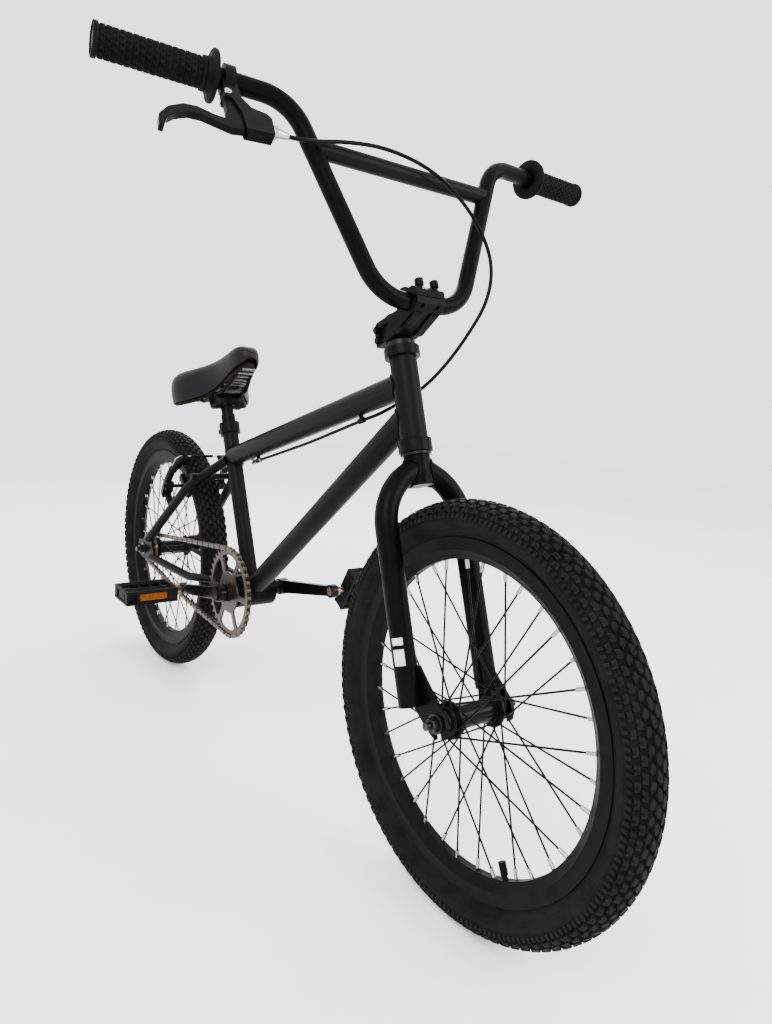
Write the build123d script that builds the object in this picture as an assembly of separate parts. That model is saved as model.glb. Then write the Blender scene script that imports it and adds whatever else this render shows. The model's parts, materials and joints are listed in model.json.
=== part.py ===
from build123d import *
import math
import os

# A 20 inch BMX bicycle, drive side at -Y, front wheel towards +X, +Z up. Millimetres.
# The origin is on the ground, midway between the two tyre contact points.

# Wheels
WHEELBASE = 975.0
TYRE_R = 257.0
TYRE_HALF_W = 25.0
RIM_INNER_R = 185.5
RIM_EDGE_R = 212.0
RIM_HALF_W = 14.0
SPOKES = 36
SPOKE_CROSS = 3
SPOKE_R = 1.0
SPOKE_OUTSIDE = 5.0
SPOKE_INSIDE = 2.8
NIPPLE_R = 2.2
NIPPLE_LENGTH = 11.0
FLANGE_R = 22.5
FLANGE_HOLE_R = 19.0
FRONT_FLANGE_Y = 33.0
REAR_FLANGE_Y = 30.0
AXLE_R = 5.0
AXLE_END = 16.0
AXLE_TIP_R = 4.9
AXLE_GROOVE_R = 4.3
FRONT_HUB_HALF = 50.0
REAR_HUB_HALF = 55.0
VALVE_R = 4.0
VALVE_CAP_R = 4.6

# Steering
HEAD_ANGLE = 70.7
RAKE = 33.8
LEG_R = 14.5
LEG_Y = 62.0
LEG_BOTTOM = 20.0
CROWN_LEG_END = 303.0
CROWN_R = 17.0
CROWN_BOTTOM = 283.0
STEERER_R = 14.3
STEERER_TOP = 504.0
HEAD_R = 18.0
HEAD_LOW = 343.0
HEAD_HIGH = 452.0
DROPOUT_T = 5.0

# Handlebar, in the steering frame: forward of the steering axis, sideways, and up along the axis
BAR_R = 11.1
BAR_REACH = 51.0
BAR_CLAMP_S = 505.0
BAR_POINTS = [(51, 65, 505), (57, 160, 726), (32, 370, 744)]
BAR_BEND_LOW = 60.0
BAR_BEND_HIGH = 55.0
CROSSBAR_S = 675.0
GRIP_R = 16.5
GRIP_LENGTH = 124.0
GRIP_FLANGE_R = 27.5
STEM_HALF_W = 22.5
STEM_BOLTS = [(36.4, -12), (36.4, 12), (65.6, -12), (65.6, 12)]
REAR_BOLT_S = (481.0, 495.0)

# Frame
TUBE_R = 17.5
SEAT_TUBE_R = 14.3
SEAT_TUBE_TOP = 311.0
TOP_TUBE_AT = 248.0
SEAT_STAY_AT = 242.0
SEAT_ANGLE = 67.35
BB_HEIGHT = 261.0
BB_R = 28.5
BB_BORE = 25.5
BB_HALF = 35.0
STAY_R = 9.0
CHAIN_STAY_R = 8.0
DROPOUT_Y = 57.5
WALL = 1.6

# Drivetrain
PITCH = 12.7
RING_TEETH = 38
COG_TEETH = 16
CHAIN_LINKS = 90
CHAIN_Y = -45.0
ROLLER_R = 3.9
ROLLER_GAP = 0.25
CRANK_LENGTH = 172.0
CRANK_DROP = 11.5
CRANK_Y = 61.0
ARM_T = 12.0
ARM_EYE_R = 11.5
SPINDLE_R = 9.5
PEDAL_Y = 132.0
PEDAL_SPINDLE_R = 4.5
LEFT_PEDAL_TURN = Rot(0, -60, 0) * Rot(0, 0, 180)

# Running fit of a shaft in its bearing, and the gap between parts that pass each other
FIT = 0.06
GAP = 0.4

# Saddle, about its tilt axis with x towards the nose
SADDLE_TILT = 16.0
CLAMP_AT = 356.0
CLAMP_HALF = 17.8
RAIL_R = 3.5
RAIL_Y = 22.0
RAIL_Z = 9.0
SADDLE_WALL = 5.0
SADDLE_PLAN = [(-104, 0), (-108, 30), (-98, 60), (-70, 76), (-38, 69), (-4, 46), (34, 30), (84, 24), (108, 17),
               (120, 0)]
SADDLE_SIDE = [(-112, 26), (-106, 14), (-62, 9), (-36, 9), (-6, 12), (20, 17), (52, 27), (85, 36), (112, 42),
               (125, 48), (124, 60), (114, 70), (94, 76), (62, 74), (10, 71), (-30, 70), (-70, 73), (-98, 69),
               (-112, 54)]
BASE_SIDE = [(-98, 20), (-98, 27), (20, 27), (60, 35), (110, 45), (114, 39), (98, 31), (60, 23), (20, 19.5)]
POST_R = 12.7
POST_NECK_R = 11.0

# Brake. Points on the lever are on its own plane: inwards along the bar, and away from the bar.
HOUSING_R = 2.5
LEVER_PIVOT = (-5, 31)
BARREL = (42, 66)
BRAKE_PIVOT = Vector(-385, 50, 395)
SHOE_UP = 29
SHOE_BACK = -9
WIRE_UP = 97
WIRE_BACK = 8.4
LEVER_ANGLE = 18.0
ARM_ANGLE = 50.0

# Cable
CLIP_X = (222.0, -84.0)
CLIP_HALF = 6.0
CABLE_DROP = 7.0
# Route of the free loop, in the steering frame: forward, sideways, up
FRONT_LOOP = [(72, -96, 684), (73, -36, 691), (77, 27, 677), (80, 70, 643), (83, 95, 601), (84, 103, 556),
              (72, 96, 512), (48, 75, 473), (19, 53, 438), (-18, 36, 415), (-54, 17, 404)]
# Route from the last clip round the left of the seat tube, on the ground frame
REAR_RUN = [(-112, 3, 488), (-140, 17, 482), (-172, 39, 480), (-210, 60, 478), (-254, 75, 476)]


def polar(radius, degrees):
    return radius * math.cos(math.radians(degrees)), radius * math.sin(math.radians(degrees))


def rod(start, end, radius, inner=0.0):
    """A round bar or tube between two points."""
    start, end = Vector(*start), Vector(*end)
    plane = Plane(origin=start, z_dir=end - start)
    length = (end - start).length
    solid = Solid.make_cylinder(radius, length, plane)
    if inner:
        solid = solid - Solid.make_cylinder(inner, length, plane)
    return solid


def ring_y(outer, inner, low, high):
    """A ring about the Y axis from y = low to y = high."""
    return rod((0, low, 0), (0, high, 0), outer, inner)


def turned(points):
    """A solid of revolution about the Y axis from (radius, y) points."""
    return revolve(Polygon(*points, align=None), axis=Axis.Y)


def slab(points, low, high):
    """An (x, z) outline, extruded along Y from y = low to y = high."""
    return plate_y(Polygon(*points, align=None), low, high)


def plate_y(sketch, low, high):
    """Extrude an (x, z) sketch along Y from y = low to y = high."""
    return Pos(0, high, 0) * extrude(Plane.XZ * sketch, amount=high - low, dir=(0, -1, 0))


def bent_tube(points, radii, radius, inner=0.0):
    path = FilletPolyline(*points, radius=radii)
    section = Circle(radius) if not inner else Circle(radius) - Circle(inner)
    return sweep(Plane(origin=path @ 0, z_dir=path % 0) * section, path=path)


def hex_nut(across, low, high, hole):
    body = Pos(0, high, 0) * extrude(Plane.XZ * RegularPolygon(across / math.sqrt(3), 6), amount=high - low)
    return body - ring_y(hole, 0, low, high) if hole else body


def mirror_y(shape):
    return mirror(shape, about=Plane.XZ)


def save(node, *shapes):
    solids = [solid for shape in shapes for solid in shape.solids()]
    part = solids[0] if len(solids) == 1 else Compound(solids)
    part.label = node
    export_step(part, f"parts/{node}.step")


def link_count(centre):
    """Links in a chain over both sprockets, for a distance between their centres."""
    drop = math.asin((RING_PITCH_R - COG_PITCH_R) / centre)
    span = centre * math.cos(drop) / PITCH
    wraps = RING_TEETH * (0.5 + drop / math.pi) + COG_TEETH * (0.5 - drop / math.pi)
    return 2 * span + wraps


def chain_centre():
    """The centre distance that the whole number of links asks for."""
    low, high = 300.0, 500.0
    for _ in range(60):
        middle = (low + high) / 2
        if link_count(middle) < CHAIN_LINKS:
            low = middle
        else:
            high = middle
    return low


RING_PITCH_R = PITCH / 2 / math.sin(math.pi / RING_TEETH)
COG_PITCH_R = PITCH / 2 / math.sin(math.pi / COG_TEETH)
CENTRES = chain_centre()
FRONT = Vector(WHEELBASE / 2, 0, TYRE_R)
REAR = Vector(-WHEELBASE / 2, 0, TYRE_R)
BB = Vector(REAR.X + math.sqrt(CENTRES ** 2 - (BB_HEIGHT - TYRE_R) ** 2), 0, BB_HEIGHT)

TILT = 90 - HEAD_ANGLE
FORWARD = Vector(math.cos(math.radians(TILT)), 0, math.sin(math.radians(TILT)))
UPWARD = Vector(-math.sin(math.radians(TILT)), 0, math.cos(math.radians(TILT)))
STEER = Location(tuple(FRONT - FORWARD * RAKE), (0, -TILT, 0))
SEAT_DIR = Vector(-math.cos(math.radians(SEAT_ANGLE)), 0, math.sin(math.radians(SEAT_ANGLE)))


def steer_point(forward, side, up):
    """World position of a point given in the steering frame."""
    return FRONT - FORWARD * RAKE + FORWARD * forward + Vector(0, side, 0) + UPWARD * up


def seat_point(distance):
    return BB + SEAT_DIR * distance


# ---------------------------------------------------------------- wheels
def tyre():
    outer = [(212.6, 11.8), (221.5, 20.6), (236, TYRE_HALF_W), (251, 18.2), (TYRE_R, 0)]
    inner = [(212.6, 8.8), (222, 17.6), (235, 21.4), (247, 15.0), (251.5, 0)]
    lines = []
    for side in (1, -1):
        flip = [(r, side * y) for r, y in outer]
        hollow = [(r, side * y) for r, y in inner]
        lines += [ThreePointArc(*flip[0:3]), ThreePointArc(*flip[2:5])]
        lines += [ThreePointArc(*hollow[0:3]), ThreePointArc(*hollow[2:5])]
        lines += [Polyline(flip[0], (205.4, side * 11.8), (205.4, side * 8.8), hollow[0])]
    return revolve(make_face(Curve() + lines), axis=Axis.Y)


def rim():
    half = [(RIM_INNER_R, 5), (197, RIM_HALF_W), (RIM_EDGE_R, RIM_HALF_W), (RIM_EDGE_R, 12),
            (204, 12), (203, 8), (199, 6)]
    outline = half + [(r, -y) for r, y in reversed(half)]
    return turned(outline)


def inner_tube(valve_angle):
    body = revolve(Pos(231, 0) * Circle(17.0), axis=Axis.Y)
    x, z = polar(1, valve_angle)
    stem = rod((x * 218, 0, z * 218), (x * 181, 0, z * 181), VALVE_R - 0.6)
    cap = rod((x * 181, 0, z * 181), (x * 166, 0, z * 166), VALVE_CAP_R)
    return body + stem + cap


def valve_hole(valve_angle):
    x, z = polar(1, valve_angle)
    return rod((x * 180, 0, z * 180), (x * 208, 0, z * 208), VALVE_R - 0.4)


def lacing(left_flange, right_flange):
    """Spokes, nipples and elbows of a crossed wheel: each flange has half of them, every other one outside."""
    spokes, nipples, elbows = [], [], []
    step = 720 / SPOKES
    for side, flange in ((1, left_flange), (-1, -right_flange)):
        for k in range(SPOKES // 2):
            turn = 1 if k % 2 else -1
            hub_angle = k * step + (step / 2 if side < 0 else 0)
            rim_angle = hub_angle + turn * SPOKE_CROSS * step
            hx, hz = polar(FLANGE_HOLE_R, hub_angle)
            rx, rz = polar(RIM_INNER_R - 0.8, rim_angle)
            lean = SPOKE_OUTSIDE if turn > 0 else -SPOKE_INSIDE
            start = Vector(hx, flange + side * lean, hz)
            head = Vector(hx, flange - side * turn * SPOKE_INSIDE, hz)
            end = Vector(rx, side * 2.0, rz)
            direction = (end - start).normalized()
            joint = end - direction * NIPPLE_LENGTH
            elbow = rod(head, start, SPOKE_R)
            spokes.append(rod(start, joint, SPOKE_R) + elbow + Pos(*start) * Sphere(SPOKE_R))
            nipples.append(rod(joint, end, NIPPLE_R))
            elbows.append(elbow)
    return spokes, nipples, elbows


def hub(left_flange, right_flange, left_end, right_end, elbows, boss=None):
    """Hub shell: barrel, two flanges, bearing bores at both ends and an optional freewheel thread."""
    shell = ring_y(14, 8, -right_end, left_end)
    shell += ring_y(FLANGE_R, 8, left_flange - 1.6, left_flange + 1.6)
    shell += ring_y(FLANGE_R, 8, -right_flange - 1.6, -right_flange + 1.6)
    shell += ring_y(17, 8, left_flange - 6, left_flange + 5)
    shell += ring_y(17, 8, -right_flange - 5, -right_flange + 6)
    if boss:
        shell += ring_y(17.3, 8, -boss, -right_flange)
    return shell - elbows


def cone_set(inner, outer, radius):
    """Bearing cone and lock nut on one side, from the hub's bore out to the dropout's face."""
    cone = ring_y(8 - FIT, AXLE_R, inner, inner + 8)
    spacer = ring_y(radius, AXLE_R, inner + 8, outer)
    return cone + spacer


def wheels():
    front_spokes, front_nipples, front_elbows = lacing(FRONT_FLANGE_Y, FRONT_FLANGE_Y)
    rear_spokes, rear_nipples, rear_elbows = lacing(REAR_FLANGE_Y + 4, REAR_FLANGE_Y)
    at_front, at_rear = Pos(*FRONT), Pos(*REAR)
    front_valve, rear_valve = -65, 205
    save("front_tyre", at_front * tyre())
    save("front_rim", at_front * (rim() - valve_hole(front_valve)))
    save("front_inner_tube", at_front * inner_tube(front_valve))
    save("front_spokes", *[at_front * s for s in front_spokes])
    save("front_nipples", *[at_front * s for s in front_nipples])
    save("front_hub", at_front * hub(FRONT_FLANGE_Y, FRONT_FLANGE_Y, 41, 41, front_elbows))
    save("rear_tyre", at_rear * tyre())
    save("rear_rim", at_rear * (rim() - valve_hole(rear_valve)))
    save("rear_inner_tube", at_rear * inner_tube(rear_valve))
    save("rear_spokes", *[at_rear * s for s in rear_spokes])
    save("rear_nipples", *[at_rear * s for s in rear_nipples])
    save("rear_hub", at_rear * hub(REAR_FLANGE_Y + 4, REAR_FLANGE_Y, 44, 44, rear_elbows, 49.5))


def axle_nuts(plate_outer):
    """A washer and a hexagon nut outside one dropout."""
    washer = ring_y(12, AXLE_R, plate_outer, plate_outer + 2)
    nut = hex_nut(15, plate_outer + 2, plate_outer + 10, AXLE_R)
    return [washer, nut]


def axle(plate):
    """An axle with a short turned tip beyond each nut, set off by a thread groove."""
    shaft = ring_y(AXLE_R, 0, -plate - 10, plate + 10)
    shaft = shaft + ring_y(AXLE_GROOVE_R, 0, -plate - 11, plate + 11)
    tip = ring_y(AXLE_TIP_R, 0, plate + 11, plate + AXLE_END)
    return shaft + tip + mirror_y(tip)


def axles():
    front_plate = FRONT_HUB_HALF + DROPOUT_T
    rear_plate = REAR_HUB_HALF + DROPOUT_T
    save("front_axle", Pos(*FRONT) * axle(front_plate))
    save("rear_axle", Pos(*REAR) * axle(rear_plate))
    front = axle_nuts(front_plate) + [cone_set(36, FRONT_HUB_HALF, 9)]
    front[-1] = front[-1] + ring_y(13, AXLE_R, 42, 45)
    save("front_axle_nuts", *[Pos(*FRONT) * s for s in front], *[Pos(*FRONT) * mirror_y(s) for s in front])
    rear = axle_nuts(rear_plate)
    left = rear + [cone_set(38, REAR_HUB_HALF, 9)]
    right = rear + [cone_set(42.5, REAR_HUB_HALF, 9)]
    save("rear_axle_nuts", *[Pos(*REAR) * s for s in left], *[Pos(*REAR) * mirror_y(s) for s in right])


# ---------------------------------------------------------------- frame
def head_cut():
    return STEER * rod((0, 0, HEAD_LOW - 60), (0, 0, HEAD_HIGH + 60), HEAD_R)


def frame_tubes():
    head = rod((0, 0, HEAD_LOW), (0, 0, HEAD_HIGH), HEAD_R, 15.4)
    save("head_tube", STEER * head)

    seat_outer = rod(seat_point(0), seat_point(SEAT_TUBE_TOP), SEAT_TUBE_R)
    seat_bore = rod(seat_point(0), seat_point(SEAT_TUBE_TOP + 1), POST_R + FIT)
    bb_outer = Pos(*BB) * ring_y(BB_R, 0, -BB_HALF, BB_HALF)
    save("seat_tube", seat_outer - seat_bore - bb_outer)
    save("bb_shell", Pos(*BB) * ring_y(BB_R, BB_BORE, -BB_HALF, BB_HALF))

    top_end = steer_point(0, 0, 417.5)
    top_start = seat_point(TOP_TUBE_AT)
    top = rod(top_start, top_end, TUBE_R, TUBE_R - WALL) - head_cut() - seat_outer
    save("top_tube", top.solids().sort_by(SortBy.VOLUME)[-1])
    down_end = steer_point(0, 0, 377.0)
    down = rod(tuple(BB), down_end, TUBE_R, TUBE_R - WALL) - head_cut() - bb_outer - seat_outer
    save("down_tube", down.solids().sort_by(SortBy.VOLUME)[-1])
    return seat_outer, bb_outer, rod(top_start, top_end, TUBE_R), rod(tuple(BB), down_end, TUBE_R)


def dropout_plate():
    """Rear dropout outline about the axle: rounded, with an axle slot that opens to the rear."""
    outline = [(-34, -13), (-12, -20), (14, -20), (58, -21), (58, 4), (40, 36), (26, 40), (8, 22), (-34, 15)]
    plate = slab(outline, DROPOUT_Y - DROPOUT_T / 2, DROPOUT_Y + DROPOUT_T / 2)
    slot = slab([(-40, -5.3), (0, -5.3), (0, 5.3), (-40, 5.3)], 50, 70) + ring_y(5.3, 0, 50, 70)
    return Pos(*REAR) * (plate - slot)


def stay_tube():
    """The whole left seat stay, before it is trimmed."""
    path = [(REAR.X + 30, DROPOUT_Y + 2, REAR.Z + 28), (REAR.X + 196, 44.5, REAR.Z + 162),
            seat_point(SEAT_STAY_AT) + Vector(0, 13, 0)]
    return bent_tube(path, [150], STAY_R)


def rear_triangle(seat_outer, bb_outer, top_outer, down_outer):
    plate = dropout_plate()
    chain_path = [(BB.X - 12, 18, BB.Z + 2), (BB.X - 88, 31, BB.Z), (REAR.X + 214, 44, REAR.Z - 12),
                  (REAR.X + 44, DROPOUT_Y, REAR.Z - 10)]
    chain_stay = bent_tube(chain_path, [70, 120], CHAIN_STAY_R) - bb_outer - plate - seat_outer - down_outer
    seat_stay = stay_tube() - seat_outer - plate - top_outer
    stays = [s.solids().sort_by(SortBy.VOLUME)[-1] for s in (chain_stay, seat_stay)]
    stays[1] = stays[1] & Box(2000, 400, 2000, align=(Align.CENTER, Align.MIN, Align.CENTER))
    both = [stays, [mirror_y(s) for s in stays]]
    bridge_at = Vector(REAR.X + 226, 0, REAR.Z + 186)
    bridge = rod(bridge_at - Vector(0, 50, 0), bridge_at + Vector(0, 50, 0), 6) - both[0][1] - both[1][1]
    bridge = bridge.solids().sort_by(Axis.Y)
    middle = min(bridge, key=lambda solid: abs(solid.center().Y))
    save("chain_stays", both[0][0], both[1][0])
    save("seat_stays", both[0][1], both[1][1], middle)
    save("rear_dropouts", plate - chain_stay, mirror_y(plate - chain_stay))


def bearings_and_clamps():
    skirt_low = rod((0, 0, HEAD_LOW), (0, 0, HEAD_LOW + 14), 15.4, STEERER_R + 0.5)
    cup_low = rod((0, 0, HEAD_LOW - 17), (0, 0, HEAD_LOW), 22, STEERER_R + 0.5)
    skirt_high = rod((0, 0, HEAD_HIGH - 14), (0, 0, HEAD_HIGH), 15.4, STEERER_R + 0.5)
    cup_high = rod((0, 0, HEAD_HIGH), (0, 0, HEAD_HIGH + 13), 23.5, STEERER_R + 0.5)
    save("headset_cups", STEER * (cup_low + skirt_low), STEER * (cup_high + skirt_high))
    race = rod((0, 0, HEAD_LOW - 21), (0, 0, HEAD_LOW - 17 - GAP), 20, STEERER_R)
    cone = rod((0, 0, HEAD_HIGH + 13 + GAP), (0, 0, HEAD_HIGH + 20.5), 19, STEERER_R)
    save("headset_bearings", STEER * race, STEER * cone)

    bearing = ring_y(BB_BORE, SPINDLE_R + FIT, 24, 36.5)
    save("bb_bearings", Pos(*BB) * bearing, Pos(*BB) * mirror_y(bearing))

    collar = rod(seat_point(SEAT_TUBE_TOP - 19), seat_point(SEAT_TUBE_TOP + 1), 18.5, SEAT_TUBE_R)
    behind = Vector(-SEAT_DIR.Z, 0, SEAT_DIR.X)
    lug_at = seat_point(SEAT_TUBE_TOP - 9) + behind * 20
    bolt = rod(lug_at - Vector(0, 15, 0), lug_at + Vector(0, 15, 0), 2.5)
    ears = []
    for side in (-1, 1):
        plane = Plane(origin=lug_at + Vector(0, side * 5, 0), z_dir=behind)
        ears.append(extrude(plane * Rectangle(18, 6), amount=5, both=True))
    clamp = collar + ears[0] + ears[1] - bolt - rod(seat_point(0), seat_point(340), SEAT_TUBE_R)
    head = rod(lug_at + Vector(0, 8.5, 0), lug_at + Vector(0, 13, 0), 4.5)
    nut = rod(lug_at - Vector(0, 8.5, 0), lug_at - Vector(0, 12.5, 0), 4.5)
    shank = rod(lug_at - Vector(0, 8.5, 0), lug_at + Vector(0, 8.5, 0), 2.5)
    save("seat_clamp", clamp, shank + head + nut)


# ---------------------------------------------------------------- fork, stem and bars
def fork():
    sleeve = rod((0, 0, CROWN_BOTTOM), (0, 0, HEAD_LOW - 21), CROWN_R)
    steerer = rod((0, 0, HEAD_LOW - 22), (0, 0, STEERER_TOP), STEERER_R)
    save("fork_steerer", STEER * (sleeve + steerer))
    plate_outline = [(-9, 26), (-9, 44), (6, 68), (15, 66), (33, 34), (50, 8), (52, -6), (46, -17), (39.6, -19),
                     (39.6, 0), (28.0, 0), (28.0, -19), (20, -13), (6, 4)]
    plate = slab(plate_outline, FRONT_HUB_HALF, FRONT_HUB_HALF + DROPOUT_T)
    plate = plate - Pos(RAKE, 0, 0) * ring_y(AXLE_R + 0.3, 0, 40, 60)
    corner = CROWN_LEG_END - (LEG_Y - 12) * math.tan(math.radians(30))
    leg = bent_tube([(0, LEG_Y, LEG_BOTTOM), (0, LEG_Y, corner), (0, 12, CROWN_LEG_END)], [75], LEG_R)
    leg = leg - rod((0, 0, CROWN_BOTTOM - 40), (0, 0, HEAD_LOW - 10), CROWN_R)
    leg = leg.solids().sort_by(SortBy.VOLUME)[-1] - plate
    leg = leg.solids().sort_by(SortBy.VOLUME)[-1]
    save("fork_legs", STEER * leg, STEER * mirror_y(leg))
    save("fork_dropouts", STEER * plate, STEER * mirror_y(plate))


def stem():
    side = [(-27, 473), (-27, 500), (-20, 505), (71, 505), (70, 497), (59, 491), (18, 477), (-4, 475)]
    body = slab(side, -STEM_HALF_W, STEM_HALF_W)
    waist = [(-40, 470), (28, 470), (28, 510), (-40, 510)]
    for sign in (-1, 1):
        low, high = sorted((sign * 19.5, sign * 30))
        body = body - slab(waist, low, high)
    body = body - rod((0, 0, 440), (0, 0, 520), STEERER_R) - bar_hole(40)
    body = body - slab([(-36, 470), (-12, 470), (-12, 510), (-36, 510)], -1.5, 1.5)
    recess = slab([(-21, 480), (-5, 480), (5, 497), (-16, 497)], 16, 30)
    body = body - recess - mirror_y(recess)
    for r, y in STEM_BOLTS:
        body = body - rod((r, y, 470), (r, y, 520), 3)
    for s in REAR_BOLT_S:
        body = body - rod((-21, -30, s), (-21, 30, s), 2.6)
    save("stem_body", STEER * body.solids().sort_by(SortBy.VOLUME)[-1])

    cap = slab([(31, 506), (71, 506), (71, 515), (64, 521), (37, 521), (31, 515)], -STEM_HALF_W, STEM_HALF_W)
    cap = cap - bar_hole(40)
    for r, y in STEM_BOLTS:
        cap = cap - rod((r, y, 500), (r, y, 530), 3)
    save("stem_cap", STEER * cap)

    bolts = []
    for r, y in STEM_BOLTS:
        bolts.append(rod((r, y, 499), (r, y, 521), 3) + rod((r, y, 521), (r, y, 529), 4.8))
    for s in REAR_BOLT_S:
        shank = rod((-21, -19.5, s), (-21, 19.5, s), 2.6)
        bolts.append(shank + rod((-21, -22.5, s), (-21, -19.5, s), 4) + rod((-21, 19.5, s), (-21, 22, s), 4))
    bolts.append(rod((0, 0, 505), (0, 0, 508), 15))
    save("stem_bolts", *[STEER * b for b in bolts])


def bar_hole(half):
    return rod((BAR_REACH, -half, BAR_CLAMP_S), (BAR_REACH, half, BAR_CLAMP_S), BAR_R)


def bar_line(y):
    """The centre of the straight grip end at sideways distance y, in the steering frame."""
    (r0, y0, s0), (r1, y1, s1) = BAR_POINTS[1], BAR_POINTS[2]
    t = (abs(y) - y0) / (y1 - y0)
    return Vector(r0 + t * (r1 - r0), y, s0 + t * (s1 - s0))


def handlebar():
    right = [(r, -y, s) for r, y, s in reversed(BAR_POINTS)]
    radii = [BAR_BEND_HIGH, BAR_BEND_LOW, BAR_BEND_LOW, BAR_BEND_HIGH]
    bar = bent_tube(right + BAR_POINTS, radii, BAR_R)
    save("handlebar", STEER * bar)
    (r0, y0, s0), (r1, y1, s1) = BAR_POINTS[0], BAR_POINTS[1]
    t = (CROSSBAR_S - s0) / (s1 - s0)
    end = (r0 + t * (r1 - r0), y0 + t * (y1 - y0), CROSSBAR_S)
    cross = rod((end[0], -end[1], end[2]), end, BAR_R - 0.3) - bar
    save("crossbar", STEER * min(cross.solids(), key=lambda s: abs(s.center().Y)))

    tip, inner = bar_line(371.5), bar_line(371.5 - GRIP_LENGTH)
    plane = Plane(origin=tip, z_dir=inner - tip)
    sleeve = Solid.make_cylinder(GRIP_R, GRIP_LENGTH - 3, plane)
    flange = Solid.make_cylinder(GRIP_FLANGE_R, 5, Plane(origin=inner, z_dir=tip - inner))
    collar = Solid.make_cylinder(19, 16, Plane(origin=inner, z_dir=tip - inner))
    grip = sleeve + flange + collar - bar
    grip = grip.solids().sort_by(SortBy.VOLUME)[-1]
    save("grips", STEER * grip, STEER * mirror_y(grip))


# ---------------------------------------------------------------- brake lever
def lever_frame():
    """Origin on the bar inboard of the right grip; x inwards along the bar, y towards the lever blade."""
    origin = bar_line(-233)
    inwards = (bar_line(-160) - bar_line(-233)).normalized()
    turn = math.radians(LEVER_ANGLE)
    towards = Vector(math.sin(turn), 0, -math.cos(turn))
    normal = inwards.cross(towards).normalized()
    return Plane(origin=origin, x_dir=inwards, z_dir=normal)


def flat_piece(plane, points, low, high):
    face = plane.offset(low) * Polygon(*points, align=None)
    return extrude(face, amount=high - low, dir=plane.z_dir)


def in_plane(plane, x, y, z=0.0):
    return plane.from_local_coords(Vector(x, y, z))


def brake_lever():
    plane = lever_frame()
    bar = rod(in_plane(plane, -30, 0), in_plane(plane, 40, 0), BAR_R)
    clamp = rod(in_plane(plane, -6, 0), in_plane(plane, 6, 0), 16.5)
    outline = [(-8, 8), (7, 8), (10, 32), (20, 45), (37, 48), (42, 54), (42, 79), (10, 82), (8, 58), (-1, 38),
               (-9.5, 38)]
    neck = flat_piece(plane, outline, -7.5, 7.5)
    body = clamp + neck - bar
    channel = flat_piece(plane, [(-30, 20), (3, 20), (7, 34), (13, 56), (13, 90), (-30, 90)], -4.8, 4.8)
    body = body - channel
    body = body - rod(in_plane(plane, *LEVER_PIVOT, -9), in_plane(plane, *LEVER_PIVOT, 9), 2.5)
    body = body - rod(in_plane(plane, 12, BARREL[1]), in_plane(plane, 44, BARREL[1]), 2.2)
    body = body.solids().sort_by(SortBy.VOLUME)[-1]
    save("lever_bracket", STEER * body)

    pin = rod(in_plane(plane, *LEVER_PIVOT, -7.5), in_plane(plane, *LEVER_PIVOT, 7.5), 2.5)
    pin += rod(in_plane(plane, *LEVER_PIVOT, 7.5), in_plane(plane, *LEVER_PIVOT, 10), 4.5)
    pin += rod(in_plane(plane, *LEVER_PIVOT, -9.5), in_plane(plane, *LEVER_PIVOT, -7.5), 4)
    screw = rod(in_plane(plane, 0, -16.5), in_plane(plane, 0, -20), 3.5)
    locker = rod(in_plane(plane, 42, BARREL[1]), in_plane(plane, 47, BARREL[1]), 7.5, 1.6)
    cone = Solid.make_cone(6, 3.6, 14, Plane(origin=in_plane(plane, 47, BARREL[1]), z_dir=plane.x_dir))
    cone = cone - rod(in_plane(plane, 46, BARREL[1]), in_plane(plane, 62, BARREL[1]), 1.6)
    save("lever_screws", STEER * pin, STEER * screw, STEER * (locker + cone))

    blade = [(-9, 25), (-1, 25), (2, 34), (9, 58), (9, 81), (-4, 84), (-20, 80), (-36, 76), (-50, 77),
             (-64, 85), (-73, 95), (-77, 109), (-82, 109), (-81, 92), (-71, 77), (-55, 66), (-40, 64),
             (-24, 69), (-12, 70), (-8, 58)]
    lever = flat_piece(plane, blade, -4.3, 4.3)
    lever = lever - rod(in_plane(plane, *LEVER_PIVOT, -9), in_plane(plane, *LEVER_PIVOT, 9), 2.5 + FIT)
    save("brake_lever", STEER * lever)


# ---------------------------------------------------------------- rear brake
def brake_plane():
    """Origin at the left arm's pivot; x inwards, y up the arm, z backwards along the stud."""
    along = Vector(math.cos(math.radians(ARM_ANGLE)), 0, math.sin(math.radians(ARM_ANGLE)))
    return Plane(origin=BRAKE_PIVOT, x_dir=Vector(0, -1, 0), z_dir=Vector(-along.Z, 0, along.X))


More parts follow.
